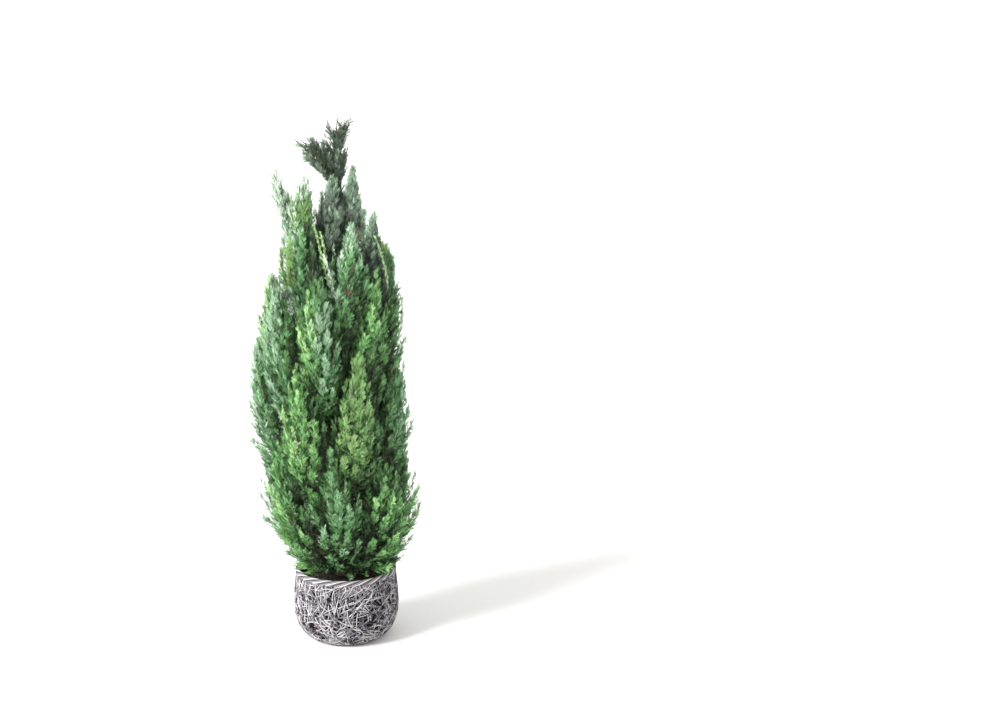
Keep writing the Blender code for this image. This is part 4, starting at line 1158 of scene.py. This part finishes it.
def sprays_on(plume, number, twigs, unlike, chance):
    """Root, heading, flat direction, length, outwardness, shoot and twig of each spray."""
    ahead, run = twigs["heading"], twigs["length"]
    tips = twigs["root"] + ahead * run[:, None]
    inside = np.clip(-depth_in(number, tips) / plume["girth"] - INNER_FROM, 0.0, 0.5) * 2.0
    coarse = 1.0 + INNER_GROWTH * np.where(twigs["shade"] > DEEP_SHADE, 1.0, inside)
    count = np.maximum(3, (run / (SPRAY_SPACING * coarse ** INNER_THINNING)).astype(int))
    bare = chance.uniform(size=len(run)) < BARE_SHARE[plume["tier"]]
    count = np.where(bare, 1, count)
    which = np.repeat(np.arange(len(run)), count)
    step = np.arange(len(which)) - np.repeat(np.cumsum(count) - count, count)
    last = step == count[which] - 1
    share = np.where(last, 0.85, 0.10 + 0.75 * (step + chance.uniform(0.3, 0.7, len(step))) / count[which])
    face = outward_of(number, tips)
    outward = face + chance.normal(0.0, FACE_SCATTER, (len(run), 3))
    around = unit(np.cross(outward, ahead))
    flat = np.cross(ahead, around)[which]
    rank = np.where(step % 2 == 0, 1.0, -1.0)
    lean = np.where(last, 3.0, chance.uniform(*SPRAY_LEAN, len(step)) * (1.1 - 0.4 * share))
    heading = turned(ahead[which], around[which] * rank[:, None], np.radians(lean))
    heading = unit(heading + flat * chance.uniform(-RANK_SCATTER, RANK_SCATTER, len(step))[:, None])
    root = twigs["root"][which] + ahead[which] * (run[which] * share)[:, None]
    length = SPRAY_LENGTH * coarse[which] * (1.2 - 0.4 * share) * chance.uniform(*SPRAY_SPREAD, len(step))
    shoot = twigs["shoot"][which]
    length = np.where(np.isin(unlike[shoot], ("straw", "white")), length * LEADER_SPRAYS, length)
    shade = twigs["shade"][which]
    own = depth_in(number, root + heading * length[:, None])
    # how near the surface: deep sprays take darker tones, partly older leaves and partly painted shade
    edge = np.clip(1.0 + own / (plume["girth"] * 0.8), 0.0, 1.1)
    if plume["tier"] == "head":
        edge = edge - HEAD_DARKER
    outer = TWIG_WEIGHT * twigs["share"][which] + SPRAY_WEIGHT * share + EDGE_WEIGHT * edge
    # painted shade of the twig, and painted light on the side towards the key light
    outer = outer - shade - PAINTED_SUN_SIDE * face[which, 0]
    # painted shade in the hollows and painted light on the swells, for all sprays without tones of their own
    outer += np.where(unlike[shoot] == "", painted_shade_and_light_at(root), 0.0)
    keep = root[:, 2] + heading[:, 2] * length <= PLANT_TOP
    withered = (-own / plume["girth"] - WITHERED_FROM) * WITHERED_RATE
    withered = np.clip(withered, 0.0, WITHERED_MOST.get(plume["tier"], WITHERED_USUAL))
    keep &= chance.uniform(size=len(step)) > np.where(shade > DEEP_SHADE, 0.0, withered)
    sprays = dict(root=root, heading=heading, flat=flat, length=length, outer=outer, shoot=shoot, twig=which)
    return {key: rows[keep] for key, rows in sprays.items()}


spray_table = []
for number, plume in enumerate(plumes):
    spray_table.append(sprays_on(plume, number, twig_table[number], shoot_table[number]["unlike"],
                                 np.random.default_rng(300 + number)))
print(f"{sum(len(sprays['root']) for sprays in spray_table)} sprays have grown")

# %% [markdown]
# ### Stems and twigs as thin tubes
# Stems and shoots are thin tubes in a plain brown finish of their own, smoother than the
# boughs. The side twigs are so fine that a folded sliver of two triangles each does for them.
# No one will see more of it than a brown line between the greens.

# %% Twigs
STEM_TIP_R = 0.0007
SHOOT_R = 0.0008
SHOOT_TAPER = 0.0006
SLIVER_WIDTH = 0.00045
SLIVER_FOLD = 0.0004
LIMB_UPRIGHT = (0.03, 1.0, 0.0)


def twigs_of(plume, shoots, twigs):
    shares = np.linspace(0.0, 0.97, 12)
    radii = STEM_R + (STEM_TIP_R - STEM_R) * shares
    tubes = [tube_along(on_axis(plume, shares), radii, sides=5, upright=LIMB_UPRIGHT)]
    steps = np.linspace(0.0, 1.0, 6)
    for start, elbow, end in zip(shoots["start"], shoots["elbow"], shoots["end"]):
        path = arc_point(start, elbow, end, steps)
        tubes.append(tube_along(path, SHOOT_R - SHOOT_TAPER * steps, sides=3, upright=LIMB_UPRIGHT))
    root, heading, run = (twigs[key] for key in ("root", "heading", "length"))
    across = unit(np.cross(heading, (0.2, 1.0, 0.3))) * SLIVER_WIDTH
    lift = unit(np.cross(across, heading)) * SLIVER_FOLD
    middle = root + heading * (run * 0.3)[:, None]
    tip = root + heading * run[:, None]
    slivers = np.stack([root, middle + across + lift, tip, middle - across + lift], axis=1)
    first = np.arange(len(root))[:, None] * 4
    tubes.append((slivers.reshape(-1, 3), np.concatenate([first + (0, 1, 2), first + (0, 2, 3)])))
    return stack_up(tubes)

# %% [markdown]
# ### The greens
# This plant isn't one green. Low plumes are fresh, higher ones turn blue grey, and some in
# between stay yellow green. Within a plume the tips are pale and the inside is dark, partly
# older leaves and partly painted shade. So each plume gets a family of tones from dark to light,
# and each spray takes one by how far out it stands. The family called shade is mostly dark
# greys, painted shade for plumes and limbs that stand in shade. Two plumes have other tones on
# one side, leaders and listed limbs can have a family of their own, and a few twigs are brown.

# %% Leaf tones
LEAF_TONES = dict(
    inner=(56, 75, 52), deep=(72, 108, 64), moss=(90, 138, 80), fresh=(114, 168, 98),
    lime=(150, 192, 124), sea=(110, 158, 108), mist=(150, 182, 150), frost=(206, 222, 204),
    slate=(76, 92, 77), ash=(114, 132, 114), straw=(178, 200, 152), mauve=(100, 98, 78),
    gold=(124, 162, 98),
)
# each family runs from dark to light; its dark end goes to sprays deep inside, partly older leaves and partly
# painted shade
FAMILIES = dict(
    fresh=("inner", "deep", "moss", "fresh", "fresh", "lime"),
    bright=("inner", "deep", "moss", "gold", "gold", "gold"),
    blue=("inner", "deep", "moss", "sea", "sea", "mist"),
    grey=("inner", "slate", "sea", "ash", "mist", "frost"),
    shade=("inner", "slate", "slate", "slate", "ash", "mist"),
    ashen=("inner", "slate", "ash", "ash", "ash", "mist"),
    straw=("ash", "lime", "lime", "straw", "straw", "lime"),
    white=("ash", "mist", "mist", "frost", "frost", "frost"),
)
# share of twigs that turn grey with height, from the first to the second height
GREYING = dict(grey=(0.9, 0.60, 0.76), blue=(0.7, 0.62, 0.78), fresh=(0.3, 0.60, 0.78),
               bright=(0.95, 0.732, 0.768), shade=(0.0, 0.0, 1.0), ashen=(0.0, 0.0, 1.0))
# plumes with other tones below a height or on their left: axis, border and family of such a side
OTHER_SIDES = dict(shoulder_inner=((2, 0.705, "blue"), (0, -0.066, "grey")),
                   middle_6=((0, -0.034, "fresh"),))
# the family called shade is painted shade, for plumes that stand in shade
PLUME_FAMILY = dict(
    base_1="fresh", base_2="blue", base_3="fresh", base_4="blue", base_5="fresh", base_6="blue",
    base_7="fresh", lower_1="blue", lower_2="fresh", lower_3="blue", lower_4="fresh",
    lower_5="blue", lower_6="fresh", lower_7="bright", middle_1="blue", middle_2="fresh",
    middle_3="blue", middle_4="fresh", middle_5="blue", middle_6="blue", middle_7="fresh",
    shoulder_outer="grey", shoulder_inner="bright", front_high="blue", flank_high="shade",
    flank_side="fresh", back_left="grey", back_right="shade", neck_right="ashen",
    neck_front="ashen", neck_back="shade", head="shade", side_shoot="ashen",
)
tone_names = list(LEAF_TONES)
leaf_finishes = [grained_finish(name + "_leaf", tone, rough=0.62, grain_size=0.0011, depth=0.0003)
                 for name, tone in LEAF_TONES.items()]
print(f"{len(leaf_finishes)} leaf tones in {len(FAMILIES)} families")

# %% [markdown]
# ### A tone for each spray
# A spray's rank in its family comes from how far out it stands, moved a little by chance. Most
# of that chance is shared by all sprays of a shoot and of a twig, because they are one growth
# and look alike. Greying and browning go by whole twigs for the same reason.

# %% Picking the tones
SHOOT_SCATTER = 0.08
TWIG_SCATTER = 0.06
SPRAY_SCATTER = 0.10
BORDER_SCATTER = 0.006


def tone_of(plume, sprays, unlike, chance):
    """The number of each spray's tone. Towards the top more and more twigs are bluish grey."""
    root, outer, shoot, twig = (sprays[key] for key in ("root", "outer", "shoot", "twig"))
    family = PLUME_FAMILY[plume["name"]]
    shoot_shift = chance.normal(0.0, SHOOT_SCATTER, shoot.max() + 1)
    twig_shift = chance.normal(0.0, TWIG_SCATTER, twig.max() + 1)
    spray_shift = chance.normal(0.0, SPRAY_SCATTER, len(outer))
    rank = outer * 0.98 + shoot_shift[shoot] + twig_shift[twig] + spray_shift
    place_in_family = (np.clip(rank, 0.0, 0.999) * len(FAMILIES[family])).astype(int)

    def tones_from(other):
        return np.array([tone_names.index(name) for name in FAMILIES[other]])[place_in_family]

    picked = tones_from(family)
    for axis, border, other in OTHER_SIDES.get(plume["name"], ()):
        beyond = root[:, axis] < border + chance.normal(0.0, BORDER_SCATTER, len(outer))
        picked = np.where(beyond, tones_from(other), picked)
    most, low, high = GREYING[family]
    turning = most * np.clip((root[:, 2] - low) / (high - low), 0.0, 1.0)
    turns_grey = chance.uniform(size=len(twig_shift))[twig] < turning
    picked = np.where(turns_grey, tones_from("grey"), picked)
    for other in sorted(set(unlike) - {""}):
        picked = np.where(unlike[shoot] == other, tones_from(other), picked)
    brown = chance.uniform(size=len(twig_shift)) < BARE_SHARE[plume["tier"]]
    return np.where(brown[twig], tone_names.index("mauve"), picked)

# %% [markdown]
# ### From sprays to leaves
# Now the patterns are set out: each is turned into its spray's frame, scaled to its length and
# moved to its root, for all sprays of a pattern at once. The plumes of a tier are shared out
# among two meshes, so that every mesh stays light enough to handle.

# %% Leaves, tier by tier
# how far a spray rolls about its own rib, in radians
MOST_ROLL = 0.6


def leaves_of(sprays, chance):
    """Corners and triangles of all leaves, and for each triangle the number of its spray."""
    root, heading = sprays["root"], sprays["heading"]
    across = unit(np.cross(sprays["flat"], heading))
    flat = np.cross(heading, across)
    roll = chance.uniform(-MOST_ROLL, MOST_ROLL, len(root))
    frames = np.stack([heading, turned(across, flat, roll), turned(flat, -across, roll)], axis=1)
    frames = frames * sprays["length"][:, None, None]
    kind = chance.integers(0, PATTERNS, len(root))
    parts, owners = [], []
    for pattern, (corners, tris) in enumerate(patterns):
        which = np.flatnonzero(kind == pattern)
        placed = np.einsum("vk,nkj->nvj", corners, frames[which]) + root[which][:, None]
        steps = np.arange(len(which))[:, None, None] * len(corners)
        parts.append((placed.reshape(-1, 3), (tris[None] + steps).reshape(-1, 3)))
        owners.append(np.repeat(which, len(tris)))
    return *stack_up(parts), np.concatenate(owners)


twig_finish = grained_finish("twig_brown", (80, 80, 58), rough=0.75, grain_size=0.0011, depth=0.0003)
TIERS = (("base",), ("lower",), ("middle",), ("upper",), ("neck", "head"))
for tier in TIERS:
    members = [k for k, plume in enumerate(plumes) if plume["tier"] in tier]
    for half, share in enumerate((members[::2], members[1::2])):
        leaf_parts, leaf_tones = [], []
        for k in share:
            chance = np.random.default_rng(500 + k)
            corners, tris, owners = leaves_of(spray_table[k], chance)
            leaf_parts.append((corners, tris))
            leaf_tones.append(tone_of(plumes[k], spray_table[k], shoot_table[k]["unlike"], chance)[owners])
        leaves = joined_mesh(f"leaves_{tier[0]}_{half + 1}", *stack_up(leaf_parts),
                             leaf_finishes, np.concatenate(leaf_tones))
        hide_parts(*["foliage_" + plumes[k]["name"] for k in share])
    twig_parts = [twigs_of(plumes[k], shoot_table[k], twig_table[k]) for k in members]
    twigs = joined_mesh(f"twigs_{tier[0]}", *stack_up(twig_parts), [twig_finish], smooth=True)

# %% [markdown]
# ### Floor, light and camera
# A product picture needs little: a pale floor, a sun with a soft edge from the left and front,
# a weak disk light from the right to lift the shadows, and a bright even surround. The camera
# has the photo's own viewpoint, three metres away, above the plant and looking a little down.

# %% Studio
FLOOR_HALF = 30.0
PLANT_MIDDLE = (0.0, 0.0, 0.5)
CAMERA_DOWN = 13.66
floor_mesh = bpy.data.meshes.new("studio_floor")
floor_corners = [(x * FLOOR_HALF, y * FLOOR_HALF, 0.0) for x, y in ((-1, -1), (1, -1), (1, 1), (-1, 1))]
floor_mesh.from_pydata(floor_corners, [], [(0, 1, 2, 3)])
floor_finish = grained_finish("pale_floor", (232, 231, 229), rough=0.8, grain_size=0.02, depth=0.0001)
floor_mesh.materials.append(floor_finish)
floor = add_object("studio_floor", floor_mesh)
floor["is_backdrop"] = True

world = bpy.data.worlds.new("studio_surround")
world.use_nodes = True
world.node_tree.nodes["Background"].inputs["Color"].default_value = (1.0, 1.0, 1.0, 1.0)
world.node_tree.nodes["Background"].inputs["Strength"].default_value = 1.10
bpy.context.scene.world = world


def studio_light(name, kind, place, power):
    """A light aimed at the plant's middle."""
    light = bpy.data.lights.new(name, kind)
    light.energy = power
    holder = add_object(name, light)
    holder.location = place
    aim = Vector(PLANT_MIDDLE) - Vector(place)
    holder.rotation_euler = aim.to_track_quat("-Z", "Y").to_euler()
    return light


key_light = studio_light("key_light", "SUN", (-2.8, -2.1, 2.9), power=6.0)
key_light.angle = 0.40
fill_light = studio_light("fill_light", "AREA", (2.4, -1.6, 1.6), power=6.0)
fill_light.shape = "DISK"
fill_light.size = 2.0

camera_data = bpy.data.cameras.new("photo_camera")
camera_data.sensor_width = 36.0
camera_data.lens = 68.9
camera = add_object("photo_camera", camera_data)
camera.location = (0.260, -3.0545, 1.2174)
camera.rotation_euler = (math.radians(90.0 - CAMERA_DOWN), 0.0, 0.0)
bpy.context.scene.camera = camera
bpy.context.scene.view_settings.view_transform = "Standard"
print("floor, two lights and the camera stand")

# %% [markdown]
# ### Sizes
# Before the end we compare the dressed plant with the plain model. The leaves may stand a few
# millimetres proud of it, but the plant must not have grown.

# %% Compare sizes and finish
seen_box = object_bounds()
sizes = dict(solid_box=[list(map(float, corner)) for corner in solid_box],
             seen_box=[list(map(float, corner)) for corner in seen_box])
for name, corners in sizes.items():
    print(name, [round(1000.0 * (high - low), 1) for low, high in zip(*corners)], "mm")
